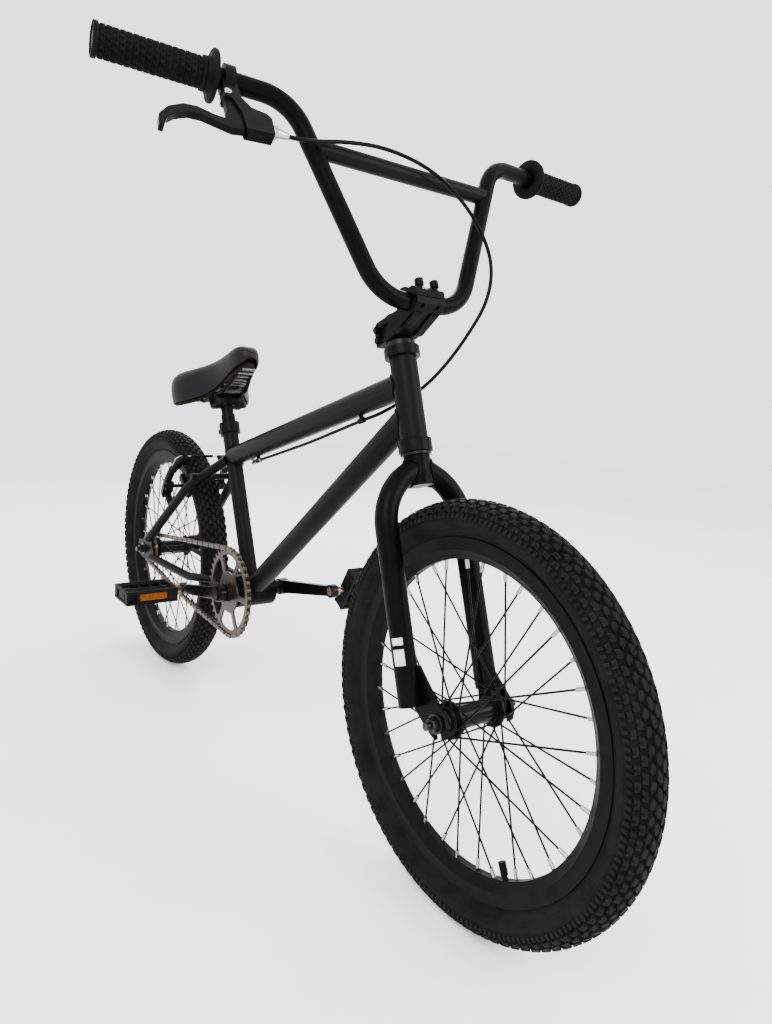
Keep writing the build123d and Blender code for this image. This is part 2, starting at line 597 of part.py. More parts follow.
def brake_parts():
    plane = brake_plane()
    outline = [(9, -12), (-8, -12), (-11, 0), (-13, 30), (-11, 66), (6, 100), (16, 104), (20, 96), (9, 82),
               (0, 60), (-1, 40), (2, 20), (9, 8)]
    pad_face = BRAKE_PIVOT.Y - RIM_HALF_W - 2.2
    post_end = in_plane(plane, -17, SHOE_UP, SHOE_BACK)
    post = rod(in_plane(plane, pad_face - 10, SHOE_UP, SHOE_BACK), post_end, 3.5)
    clip = flat_piece(plane, [(-12, 20), (3, 20), (3, 38), (-12, 38)], -14, -4)
    arm = flat_piece(plane, outline, -4, 6) + clip - post
    arm = arm - rod(in_plane(plane, 0, 0, -10), in_plane(plane, 0, 0, 10), 4 + FIT)
    pad_outline = [(pad_face - 10, 23), (pad_face, 23), (pad_face, 35), (pad_face - 10, 35)]
    pad = flat_piece(plane, pad_outline, SHOE_BACK - 27, SHOE_BACK + 27)
    wire_at = (WIRE_UP, WIRE_BACK)
    noodle = bent_tube([in_plane(plane, 19, *wire_at), in_plane(plane, -24, *wire_at),
                        in_plane(plane, -30, WIRE_UP + 16, WIRE_BACK - 19)], [13], 2.4, 1.3)
    save("left_brake_arm", arm, pad, post, noodle)
    anchor = rod(in_plane(plane, 87, WIRE_UP, 6), in_plane(plane, 87, WIRE_UP, 12), 4.5)
    wire_line = rod(in_plane(plane, 60, *wire_at), in_plane(plane, 110, *wire_at), 0.8)
    save("right_brake_arm", mirror_y(arm), mirror_y(pad), mirror_y(post), anchor - wire_line)

    wire = bent_tube([in_plane(plane, 19, *wire_at), in_plane(plane, 100, *wire_at),
                      in_plane(plane, 108, WIRE_UP - 20, WIRE_BACK)], [9], 0.8)
    boot = rod(in_plane(plane, 29, *wire_at), in_plane(plane, 73, *wire_at), 3.2, 0.8)
    save("brake_wire", wire, boot)

    stud = rod(in_plane(plane, 0, 0, -44), in_plane(plane, 0, 0, -5), 7)
    stud += rod(in_plane(plane, 0, 0, -5), in_plane(plane, 0, 0, 7), 4)
    stud += rod(in_plane(plane, 0, 0, 7), in_plane(plane, 0, 0, 10), 6.5)
    stud = max((stud - stay_tube()).solids(), key=lambda s: s.volume)
    return [stud, mirror_y(stud)]


# ---------------------------------------------------------------- cable
def top_tube_z(x):
    """Height of the top tube's centre line at x."""
    low, high = seat_point(TOP_TUBE_AT), steer_point(0, 0, 417.5)
    return low.Z + (x - low.X) * (high.Z - low.Z) / (high.X - low.X)


def cable_under(x):
    slope = math.radians(17)
    return Vector(x, 0, top_tube_z(x) - (TUBE_R + CABLE_DROP) / math.cos(slope))


def cable_clip(x, cable):
    along = (cable_under(x + 1) - cable_under(x)).normalized()
    centre = cable_under(x)
    ring = rod(centre - along * CLIP_HALF, centre + along * CLIP_HALF, HOUSING_R + 1.8)
    up = Vector(-along.Z, 0, along.X)
    post = rod(centre, centre + up * (CABLE_DROP + 4), 3.4)
    top = rod(seat_point(TOP_TUBE_AT), steer_point(0, 0, 417.5), TUBE_R)
    hole = rod(centre - along * 20, centre + along * 20, HOUSING_R)
    clip = ring + post - top - hole - cable
    return max(clip.solids(), key=lambda s: s.volume)


def cord(points, radius):
    """A tube along a hand-made route, with arcs as large as its runs allow."""
    points = [Vector(*p) for p in points]
    radii = []
    for before, here, after in zip(points, points[1:], points[2:]):
        turn = math.radians((here - before).get_angle(after - here))
        shorter = min((here - before).length, (after - here).length)
        radii.append(0.45 * shorter / math.tan(turn / 2))
    print("cable arcs", [round(r) for r in radii])
    path = FilletPolyline(*points, radius=radii)
    print("cable length", round(path.length, 1))
    return sweep(Plane(origin=path @ 0, z_dir=path % 0) * Circle(radius), path=path)


def cables(studs):
    lever = lever_frame()
    start = in_plane(lever, 61.4, BARREL[1])
    leave = in_plane(lever, 84, BARREL[1] - 1)
    joint = cable_under(CLIP_X[0] + CLIP_HALF + 0.5)
    loop = [steer_point(*start), steer_point(*leave)]
    loop += [steer_point(*p) for p in FRONT_LOOP]
    loop += [cable_under(252) + Vector(0, 3, 0), joint]
    save("front_cable", cord(loop, HOUSING_R))
    plane = brake_plane()
    noodle_end = in_plane(plane, -30, WIRE_UP + 16, WIRE_BACK - 19)
    run = [cable_under(CLIP_X[0] + CLIP_HALF), cable_under(160) - Vector(0, 0.6, 1.5),
           cable_under(100) - Vector(0, -0.6, 2.5), cable_under(40) - Vector(0, 0.5, 2.5),
           cable_under(-22) - Vector(0, 0, 1.2), cable_under(-84)]
    run += [Vector(*p) for p in REAR_RUN] + [noodle_end + Vector(1.5, 0, 0)]
    cable = cord(run, HOUSING_R)
    save("rear_cable", cable)
    save("frame_fittings", *studs, *[cable_clip(x, cable) for x in CLIP_X])


# ---------------------------------------------------------------- drivetrain
def taper(r0, r1, length):
    """An (x, z) outline of two circles and their outer tangents: radius r0 at 0 and r1 at x = length."""
    if abs(r0 - r1) < 1e-6:
        side = math.pi / 2
    else:
        side = math.acos((r0 - r1) / length)
    c, s = math.cos(side), math.sin(side)
    quad = Polygon((r0 * c, r0 * s), (r0 * c, -r0 * s), (length + r1 * c, -r1 * s), (length + r1 * c, r1 * s),
                   align=None)
    return Circle(r0) + Pos(length, 0) * Circle(r1) + quad


def sprocket(teeth, pitch_r, tip_r, phase):
    """A toothed disc cut by the chain's rollers; phase is the angle of one roller."""
    blank = Circle(tip_r)
    gap = taper(ROLLER_R + ROLLER_GAP, 6.9, 8)
    for k in range(teeth):
        blank = blank - Rot(0, 0, phase + k * 360 / teeth) * Pos(pitch_r, 0) * gap
    return blank


def chain_angles():
    """Direction of the line of centres, links per straight run and on the cog, and the two tangent angles."""
    line = math.degrees(math.atan2(REAR.Z - BB.Z, REAR.X - BB.X))
    drop = math.degrees(math.asin((RING_PITCH_R - COG_PITCH_R) / CENTRES))
    span = CENTRES * math.cos(math.radians(drop)) / PITCH
    cog_wrap = COG_TEETH * (180 - 2 * drop) / 360
    top = line - 90 + drop
    bottom = line + 90 - drop
    return line, span, cog_wrap, top, bottom


def chain_points():
    """Rollers one link apart: along the upper run, on the cog, along the lower run, on the ring."""
    _, span, cog_wrap, top, bottom = chain_angles()
    points = []
    for k in range(CHAIN_LINKS):
        u = k + 0.5
        if u < span:
            angle, t = top, u / span
            a = BB + Vector(*flat(RING_PITCH_R, angle))
            b = REAR + Vector(*flat(COG_PITCH_R, angle))
            points.append(a + (b - a) * t)
        elif u < span + cog_wrap:
            points.append(REAR + Vector(*flat(COG_PITCH_R, top + (u - span) * 360 / COG_TEETH)))
        elif u < 2 * span + cog_wrap:
            t = (u - span - cog_wrap) / span
            a = REAR + Vector(*flat(COG_PITCH_R, bottom))
            b = BB + Vector(*flat(RING_PITCH_R, bottom))
            points.append(a + (b - a) * t)
        else:
            turn = (u - 2 * span - cog_wrap) * 360 / RING_TEETH
            points.append(BB + Vector(*flat(RING_PITCH_R, bottom + turn)))
    return points


def flat(radius, degrees):
    x, z = polar(radius, degrees)
    return x, 0, z


def window():
    """One opening of the chainring, between two of its six arms."""
    low, high, arm = 36, 66.5, 5
    c30, s30 = math.cos(math.radians(30)), math.sin(math.radians(30))
    apex, reach = arm / s30, arm / s30 + 90 * c30
    wedge = Polygon((apex, 0), (reach, 90 * s30), (reach, -90 * s30), align=None)
    face = (Circle(high) - Circle(low)) & wedge
    return fillet(face.vertices(), 6)


def drivetrain():
    line, span, cog_wrap, top, bottom = chain_angles()
    ring_phase = bottom + (math.ceil(2 * span + cog_wrap - 0.5) + 0.5 - 2 * span - cog_wrap) * 360 / RING_TEETH
    cog_phase = top + (math.ceil(span - 0.5) + 0.5 - span) * 360 / COG_TEETH
    arm_angle = 180 + CRANK_DROP
    bolt_x, bolt_z = polar(26, arm_angle)
    bolt = rod((bolt_x, -68.5, bolt_z), (bolt_x, CHAIN_Y + 1.5, bolt_z), 4)

    ring = sprocket(RING_TEETH, RING_PITCH_R, RING_PITCH_R + 3.5, ring_phase)
    for k in range(6):
        ring = ring - Rot(0, 0, 30 + 60 * k) * window()
    ring = plate_y(ring, CHAIN_Y - 1.5, CHAIN_Y + 1.5) + ring_y(16, 0, -CRANK_Y + ARM_T / 2 + 3, CHAIN_Y + 3)
    ring = ring - ring_y(SPINDLE_R, 0, -90, 0) - bolt
    save("chainring", Pos(*BB) * ring)

    cog = plate_y(sprocket(COG_TEETH, COG_PITCH_R, COG_PITCH_R + 3.05, cog_phase), CHAIN_Y - 1.5, CHAIN_Y + 1.5)
    cog = cog + ring_y(26.5, 0, -50, -38) - ring_y(17.3 + FIT, 0, -60, -20)
    save("freewheel", Pos(*REAR) * cog)

    loops = []
    for low, high in ((CHAIN_Y - 3.4, CHAIN_Y - 1.7), (CHAIN_Y + 1.7, CHAIN_Y + 3.4)):
        outer = taper(RING_PITCH_R + 4.1, COG_PITCH_R + 4.1, CENTRES)
        inner = taper(RING_PITCH_R - 4.1, COG_PITCH_R - 4.1, CENTRES)
        loops.append(Pos(*BB) * plate_y(Rot(0, 0, line) * (outer - inner), low, high))
    rollers = [rod(p + Vector(0, CHAIN_Y - 1.7, 0), p + Vector(0, CHAIN_Y + 1.7, 0), ROLLER_R)
               for p in chain_points()]
    save("chain", *loops, *rollers)

    outline = taper(12, 8.5, CRANK_LENGTH) + Circle(15) + Pos(CRANK_LENGTH, 0) * Circle(ARM_EYE_R)
    arm = plate_y(Rot(0, 0, arm_angle) * outline, -CRANK_Y - ARM_T / 2, -CRANK_Y + ARM_T / 2)
    arm = arm + ring_y(15, 0, -CRANK_Y - 8, -CRANK_Y + ARM_T / 2 + 3)
    tip_x, tip_z = polar(CRANK_LENGTH, arm_angle)
    thread = rod((tip_x, -90, tip_z), (tip_x, -40, tip_z), 7)
    arm = arm - thread - ring_y(SPINDLE_R, 0, -90, -20)
    left = mirror_y(Rot(0, 180, 0) * arm)
    save("crank_arms", Pos(*BB) * (arm - bolt), Pos(*BB) * left)

    spindle = ring_y(SPINDLE_R, 0, -CRANK_Y - 6, CRANK_Y + 6)
    cap = ring_y(12, 0, -CRANK_Y - 11, -CRANK_Y - 8)
    shoulder = ring_y(13, SPINDLE_R, 37, CRANK_Y - ARM_T / 2 - 3)
    washer = ring_y(13, SPINDLE_R, -42, -37)
    save("crank_spindle", *[Pos(*BB) * s for s in (spindle, cap, mirror_y(cap), bolt, shoulder, washer)])

    out = CRANK_Y + ARM_T / 2
    spindle = rod((0, -out, 0), (0, -CRANK_Y + ARM_T / 2, 0), 7) + rod((0, -PEDAL_Y - 41, 0), (0, -out, 0), 4.5)
    spindle = spindle + rod((0, -out - 5, 0), (0, -out, 0), 8.5)
    tip = Vector(tip_x, 0, tip_z)
    save("pedal_spindles", Pos(*(BB + tip)) * spindle, Pos(*(BB - tip)) * mirror_y(spindle))
    for name, at, turn in (("right_pedal", BB + tip, Rot(0, 0, 0)), ("left_pedal", BB - tip, LEFT_PEDAL_TURN)):
        save(name, *[Pos(*at) * turn * piece for piece in pedal()])


def pedal():
    """Platform pedal of the right side, about its own axle: a cage, its barrel and two reflectors."""
    low, high = -PEDAL_Y - 48, -PEDAL_Y + 48
    middle = (low + high) / 2
    body = fillet(Box(72, high - low, 26).edges().filter_by(Axis.Y), 4)
    body = Pos(0, middle, 0) * body
    hole = Box(19, high - low - 22, 40)
    body = body - Pos(19, middle, 0) * hole - Pos(-19, middle, 0) * hole
    reflector = Box(4, 52, 13)
    seats = [Pos(side * 34, middle, 0) * reflector for side in (-1, 1)]
    body = body - seats[0] - seats[1]
    body = body - rod((0, low + 6, 0), (0, high + 1, 0), PEDAL_SPINDLE_R + FIT)
    return [body] + seats


# ---------------------------------------------------------------- saddle
def saddle_outline(shrink):
    half = [(x - math.copysign(shrink, x), max(y - shrink, 0)) for x, y in SADDLE_PLAN]
    return half + [(x, -y) for x, y in reversed(half[1:-1])]


def saddle_parts():
    """The saddle is drawn about its tilt axis, x towards the nose, and set in place at the end."""
    centre = seat_point(CLAMP_AT)
    place = Location(tuple(centre), (0, -SADDLE_TILT, 0))
    bolt = rod(centre - Vector(0, 26.3, 0), centre + Vector(0, 26.3, 0), 4)
    heads = [rod(centre + Vector(0, side * 26.3, 0), centre + Vector(0, side * 31, 0), 6.5) for side in (-1, 1)]
    post = rod(seat_point(150), seat_point(CLAMP_AT - 28), POST_R)
    neck = rod(seat_point(CLAMP_AT - 28), seat_point(CLAMP_AT + 9), POST_NECK_R)
    save("seat_post", post + neck - bolt)
    collar = rod(seat_point(CLAMP_AT - 12), seat_point(CLAMP_AT + 9), 16)
    barrel = rod(centre - Vector(0, CLAMP_HALF, 0), centre + Vector(0, CLAMP_HALF, 0), 15)
    save("saddle_clamp", collar + barrel - neck - bolt, bolt + heads[0] + heads[1])

    rails, ears = [], []
    for side in (-1, 1):
        y = side * RAIL_Y
        route = [(-76, y, 23), (-50, y, RAIL_Z), (40, y, RAIL_Z), (88, side * 12, 31)]
        rail = bent_tube(route, [26, 40], RAIL_R)
        low, high = sorted((side * (CLAMP_HALF + 0.3), side * 26))
        rails.append(rail)
        ears.append(ring_y(16, 4 + FIT, low, high) - rail)
    inner = flat_piece(Plane.XY, saddle_outline(SADDLE_WALL), 0, 90)
    pan = slab(BASE_SIDE, -90, 90)
    base = (inner & pan) - rails[0] - rails[1]
    below = slab([(-120, -20), (-120, 27), *BASE_SIDE[2:5], (130, 45), (130, -20)], -90, 90)
    cover = flat_piece(Plane.XY, saddle_outline(0), 0, 90) & slab(SADDLE_SIDE, -90, 90)
    cover = cover - (inner & below)
    save("saddle_rails", *[place * s for s in rails + ears])
    save("saddle_base", place * base)
    save("saddle", place * cover)


os.makedirs("parts", exist_ok=True)
wheels()
axles()
rear_triangle(*frame_tubes())
bearings_and_clamps()
fork()
stem()
handlebar()
brake_lever()
cables(brake_parts())
drivetrain()
saddle_parts()
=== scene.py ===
import json
import math

import bmesh
import bpy
from mathutils import Matrix, Vector


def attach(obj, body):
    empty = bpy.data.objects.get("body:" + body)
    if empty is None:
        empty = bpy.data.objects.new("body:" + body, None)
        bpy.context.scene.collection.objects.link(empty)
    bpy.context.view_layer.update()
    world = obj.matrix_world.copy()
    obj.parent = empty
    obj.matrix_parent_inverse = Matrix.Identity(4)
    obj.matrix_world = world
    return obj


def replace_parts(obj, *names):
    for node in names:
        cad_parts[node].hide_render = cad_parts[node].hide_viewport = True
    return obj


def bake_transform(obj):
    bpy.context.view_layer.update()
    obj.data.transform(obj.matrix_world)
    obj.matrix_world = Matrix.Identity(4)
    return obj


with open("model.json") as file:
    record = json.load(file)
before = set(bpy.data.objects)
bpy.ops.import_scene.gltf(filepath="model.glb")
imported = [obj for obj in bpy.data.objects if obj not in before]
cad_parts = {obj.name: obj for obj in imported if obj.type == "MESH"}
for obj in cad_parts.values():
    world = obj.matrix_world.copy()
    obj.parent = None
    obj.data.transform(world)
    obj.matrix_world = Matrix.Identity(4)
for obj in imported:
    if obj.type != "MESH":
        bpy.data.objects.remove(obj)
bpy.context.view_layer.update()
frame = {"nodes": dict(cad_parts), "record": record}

NODES = frame["nodes"]
MM = 0.001

# The steering frame: forward of the steering axis, sideways, and up along the axis.
FORWARD = Vector((0.943801, 0, 0.330514))
UPWARD = Vector((-0.330514, 0, 0.943801))
STEER = Matrix.Translation((0.4556, 0, 0.245829)) @ Matrix((
    (FORWARD.x, 0, UPWARD.x, 0), (0, 1, 0, 0), (FORWARD.z, 0, UPWARD.z, 0), (0, 0, 0, 1)))
FRONT_AXLE = Vector((0.4875, 0, 0.257))
REAR_AXLE = Vector((-0.4875, 0, 0.257))
BB = Vector((-0.0899596, 0, 0.261))
SADDLE = Matrix.Translation((-0.227056, 0, 0.589543)) @ Matrix.Rotation(math.radians(-16), 4, "Y")


# ---------------------------------------------------------------- camera
CAMERA_PLACE = (1.08747, -0.59889, 0.62978)
CAMERA_YAW, CAMERA_PITCH, CAMERA_ROLL = 142.42, -8.78, 3.98
SENSOR_MM, LENS_MM = 36, 26.2487109375
LENS_SHIFT = (-0.007705078125, -0.005400390625)
NEAR_CLIP = 0.01


def add_camera():
    yaw, pitch, roll = (math.radians(a) for a in (CAMERA_YAW, CAMERA_PITCH, CAMERA_ROLL))
    forward = Vector((math.cos(yaw) * math.cos(pitch), math.sin(yaw) * math.cos(pitch),
                      math.sin(pitch)))
    right = forward.cross(Vector((0, 0, 1))).normalized()
    up = right.cross(forward)
    x_axis = right * math.cos(roll) + up * math.sin(roll)
    y_axis = -right * math.sin(roll) + up * math.cos(roll)
    data = bpy.data.cameras.new("camera")
    camera = bpy.data.objects.new("camera", data)
    bpy.context.scene.collection.objects.link(camera)
    rows = [(x_axis[i], y_axis[i], -forward[i]) for i in range(3)]
    camera.matrix_world = Matrix.Translation(CAMERA_PLACE) @ Matrix(rows).to_4x4()
    data.sensor_fit = "AUTO"
    data.sensor_width = SENSOR_MM
    data.lens = LENS_MM
    data.shift_x, data.shift_y = LENS_SHIFT
    data.clip_start = NEAR_CLIP
    bpy.context.scene.camera = camera


add_camera()


# ---------------------------------------------------------------- materials
COAT_ROUGHNESS = 0.12
MOTTLE_LOW, MOTTLE_HIGH = 0.3, 0.7
# Pointiness range over which convex edges take the lighter colour: partly edge wear, partly a
# painted highlight.
EDGE_FROM, EDGE_TO = 0.56, 0.70
GLOSS_SCALE = 2.3
SMOOTHEST = 0.02


def material(name, colour, rough, metallic=0.0, spread=0.35, scale=60.0, rough_spread=0.08,
             grain=900.0, bump=0.15, depth=0.00015, coat=0.0, edge_wear_and_sheen=None, specular=0.03):
    """A procedural finish: mottled colour, uneven gloss and fine grain; a lighter colour on convex
    edges is partly edge wear and partly a painted highlight.
    """
    mat = bpy.data.materials.new(name)
    mat.use_nodes = True
    nodes, links = mat.node_tree.nodes, mat.node_tree.links
    shader = nodes["Principled BSDF"]
    shader.inputs["Metallic"].default_value = metallic
    shader.inputs["Coat Weight"].default_value = coat
    shader.inputs["Specular IOR Level"].default_value = specular
    shader.inputs["Coat Roughness"].default_value = COAT_ROUGHNESS
    place = nodes.new("ShaderNodeTexCoord")

    def noise(size, detail):
        node = nodes.new("ShaderNodeTexNoise")
        node.inputs["Scale"].default_value = size
        node.inputs["Detail"].default_value = detail
        links.new(place.outputs["Object"], node.inputs["Vector"])
        return node.outputs["Fac"]

    ramp = nodes.new("ShaderNodeValToRGB")
    low = [c * (1 - spread) for c in colour]
    high = [min(1, c * (1 + spread)) for c in colour]
    ramp.color_ramp.elements[0].position = MOTTLE_LOW
    ramp.color_ramp.elements[0].color = (*low, 1)
    ramp.color_ramp.elements[1].position = MOTTLE_HIGH
    ramp.color_ramp.elements[1].color = (*high, 1)
    links.new(noise(scale, 4), ramp.inputs["Fac"])
    colour_out = ramp.outputs["Color"]
    # Convex edges, found by pointiness, get a lighter colour: partly edge wear, partly a painted
    # highlight along the edges.
    if edge_wear_and_sheen:
        geometry = nodes.new("ShaderNodeNewGeometry")
        edge = nodes.new("ShaderNodeMapRange")
        edge.inputs["From Min"].default_value = EDGE_FROM
        edge.inputs["From Max"].default_value = EDGE_TO
        links.new(geometry.outputs["Pointiness"], edge.inputs["Value"])
        mix = nodes.new("ShaderNodeMix")
        mix.data_type = "RGBA"
        links.new(edge.outputs["Result"], mix.inputs["Factor"])
        links.new(colour_out, mix.inputs["A"])
        mix.inputs["B"].default_value = (*edge_wear_and_sheen, 1)
        colour_out = mix.outputs["Result"]
    links.new(colour_out, shader.inputs["Base Color"])
    gloss = nodes.new("ShaderNodeMapRange")
    gloss.inputs["To Min"].default_value = max(SMOOTHEST, rough - rough_spread)
    gloss.inputs["To Max"].default_value = min(1, rough + rough_spread)
    links.new(noise(scale * GLOSS_SCALE, 5), gloss.inputs["Value"])
    links.new(gloss.outputs["Result"], shader.inputs["Roughness"])
    relief = nodes.new("ShaderNodeBump")
    relief.inputs["Strength"].default_value = bump
    relief.inputs["Distance"].default_value = depth
    links.new(noise(grain, 3), relief.inputs["Height"])
    links.new(relief.outputs["Normal"], shader.inputs["Normal"])
    return mat


# SHEEN and the other lighter edge colours below are partly edge wear and partly a painted
# highlight on the edges; on the chain, chainring and crank they also paint glints.
BLACK = (0.0012, 0.0012, 0.0012)
SHEEN = (0.006, 0.006, 0.0063)
FINISH = {
    "frame_paint": material("frame_paint", BLACK, 0.36, edge_wear_and_sheen=SHEEN, bump=0.2, grain=1300),
    "fork_paint": material("fork_paint", (0.0013, 0.0013, 0.0013), 0.34, edge_wear_and_sheen=SHEEN, bump=0.2,
                           grain=1300),
    "tyre": material("tyre", (0.0046, 0.0044, 0.0043), 0.62, spread=0.45, scale=35, bump=0.5,
                     grain=2200, depth=0.0003, edge_wear_and_sheen=(0.012, 0.0117, 0.0115)),
    "inner_tube": material("inner_tube", (0.0028, 0.0028, 0.0028), 0.5, grain=1500, bump=0.3),
    "rim": material("rim", (0.0034, 0.0034, 0.0035), 0.42, spread=0.3, grain=1800, bump=0.15,
                    edge_wear_and_sheen=SHEEN),
    "spoke": material("spoke", (0.003, 0.003, 0.003), 0.32, metallic=0.1, grain=2500, bump=0.1),
    "nipple": material("nipple", (0.30, 0.30, 0.30), 0.24, metallic=1.0, spread=0.12, grain=3000,
                       bump=0.2),
    "hub": material("hub", (0.0024, 0.0024, 0.0024), 0.3, coat=0.06, edge_wear_and_sheen=SHEEN, bump=0.08),
    # The axle steel is near-black; its lighter edge colour is a painted glint on the nuts and axle
    # ends.
    "axle_steel": material("axle_steel", (0.008, 0.008, 0.0083), 0.28, metallic=0.3, spread=0.25,
                           grain=2500, bump=0.4, edge_wear_and_sheen=(0.09, 0.09, 0.09), specular=0.15),
    "black_steel": material("black_steel", (0.0034, 0.0034, 0.0035), 0.3, metallic=0.1,
                            edge_wear_and_sheen=(0.02, 0.02, 0.02)),
    "stem": material("stem", (0.0026, 0.0026, 0.0027), 0.38, edge_wear_and_sheen=SHEEN, bump=0.25, grain=1600),
    "grip_rubber": material("grip_rubber", (0.0030, 0.0030, 0.0031), 0.6, spread=0.3, grain=2600,
                            bump=0.35, edge_wear_and_sheen=(0.010, 0.010, 0.0105)),
    "lever_body": material("lever_body", (0.0032, 0.0032, 0.0034), 0.36, bump=0.35, grain=1900,
                           edge_wear_and_sheen=SHEEN),
    "bright_steel": material("bright_steel", (0.36, 0.36, 0.355), 0.22, metallic=1.0, spread=0.15,
                             grain=2400, bump=0.3),
    "housing": material("housing", (0.0024, 0.0024, 0.0024), 0.34, grain=2600, bump=0.25),
    "brake_arm": material("brake_arm", (0.0026, 0.0026, 0.0027), 0.36, edge_wear_and_sheen=SHEEN, bump=0.3),
    "wire": material("wire", (0.5, 0.5, 0.49), 0.3, metallic=1.0, spread=0.2, grain=4000,
                     bump=0.6),
    "crank": material("crank", (0.0018, 0.0018, 0.0018), 0.2, coat=0.12, bump=0.06,
                      edge_wear_and_sheen=(0.04, 0.04, 0.04)),
    "ring_bronze": material("ring_bronze", (0.026, 0.021, 0.016), 0.36, metallic=0.85, spread=0.3,
                            scale=90, grain=2300, bump=0.3, edge_wear_and_sheen=(0.09, 0.078, 0.06)),
    "chain": material("chain", (0.040, 0.034, 0.027), 0.36, metallic=0.9, spread=0.4, scale=160,
                      grain=2500, bump=0.3, edge_wear_and_sheen=(0.2, 0.18, 0.15)),
    "freewheel": material("freewheel", (0.07, 0.05, 0.026), 0.32, metallic=0.95, spread=0.3,
                          grain=2000, bump=0.3),
    "spindle_steel": material("spindle_steel", (0.17, 0.12, 0.07), 0.3, metallic=1.0, spread=0.3,
                              grain=2400, bump=0.3),
    "pedal": material("pedal", (0.0036, 0.0036, 0.0036), 0.5, spread=0.3, grain=1500, bump=0.5,
                      depth=0.0003, edge_wear_and_sheen=(0.02, 0.02, 0.02)),
    "post": material("post", (0.0022, 0.0022, 0.0023), 0.32, bump=0.2, grain=1400),
    "clamp_steel": material("clamp_steel", (0.0026, 0.0026, 0.0026), 0.3, metallic=0.05,
                            edge_wear_and_sheen=(0.008, 0.008, 0.008)),
    "saddle_cover": material("saddle_cover", (0.0026, 0.0026, 0.0026), 0.44, spread=0.18, scale=25,
                             grain=1500, bump=0.35, depth=0.0002, specular=0.11),
    "saddle_shell": material("saddle_shell", (0.0062, 0.0052, 0.0044), 0.45, grain=1400, bump=0.4),
}
AMBER = material("amber_lens", (0.15, 0.042, 0.004), 0.22, spread=0.25, scale=300, grain=700,
                 bump=0.6, depth=0.0004, coat=0.1)
DARK_STEEL = material("dark_steel", (0.012, 0.012, 0.012), 0.25, metallic=0.5, spread=0.25,
                      grain=2200, bump=0.3)
RIB_PLASTIC = material("rib_plastic", (0.03, 0.03, 0.03), 0.3, spread=0.2, grain=1500, bump=0.3,
                       specular=0.4)
WHITE_FILM = material("white_film", (0.62, 0.62, 0.61), 0.4, spread=0.04, scale=200, grain=1800,
                      bump=0.1)
SLOT_OF = {part["node"]: part["material_slot"] for part in frame["record"]["subparts"]}


# ---------------------------------------------------------------- mesh helpers
# Distances, in metres, within which vertices are joined: in a CAD mesh, and in the saddle's cover.
WELD_GAP, SEAM_GAP = 1e-5, 2e-5


def piece(name, verts, faces, finish, body, slot=None, smooth=True, matrix=None):
    """A mesh object in metres from millimetre vertices, with its finish, riding on a body."""
    mesh = bpy.data.meshes.new(name)
    place = matrix or Matrix.Identity(4)
    mesh.from_pydata([place @ (Vector(v) * MM) for v in verts], [], faces)
    mesh.update()
    clean = bmesh.new()
    clean.from_mesh(mesh)
    bmesh.ops.recalc_face_normals(clean, faces=clean.faces)
    clean.to_mesh(mesh)
    clean.free()
    for polygon in mesh.polygons:
        polygon.use_smooth = smooth
    obj = bpy.data.objects.new(name, mesh)
    bpy.context.scene.collection.objects.link(obj)
    mesh.materials.append(FINISH[finish] if isinstance(finish, str) else finish)
    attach(obj, body)
    return obj


def soften(obj, width=0.8, segments=2, angle=32, weld=True):
    """Rounded edges, without touching the mesh itself."""
    if weld:
        merge = obj.modifiers.new("merge", "WELD")
        merge.merge_threshold = WELD_GAP
    bevel = obj.modifiers.new("soft_edges", "BEVEL")
    bevel.width = width * MM
    bevel.segments = segments
    bevel.limit_method = "ANGLE"
    bevel.angle_limit = math.radians(angle)
    bevel.harden_normals = False
    smooth = obj.modifiers.new("normals", "WEIGHTED_NORMAL")
    smooth.keep_sharp = False


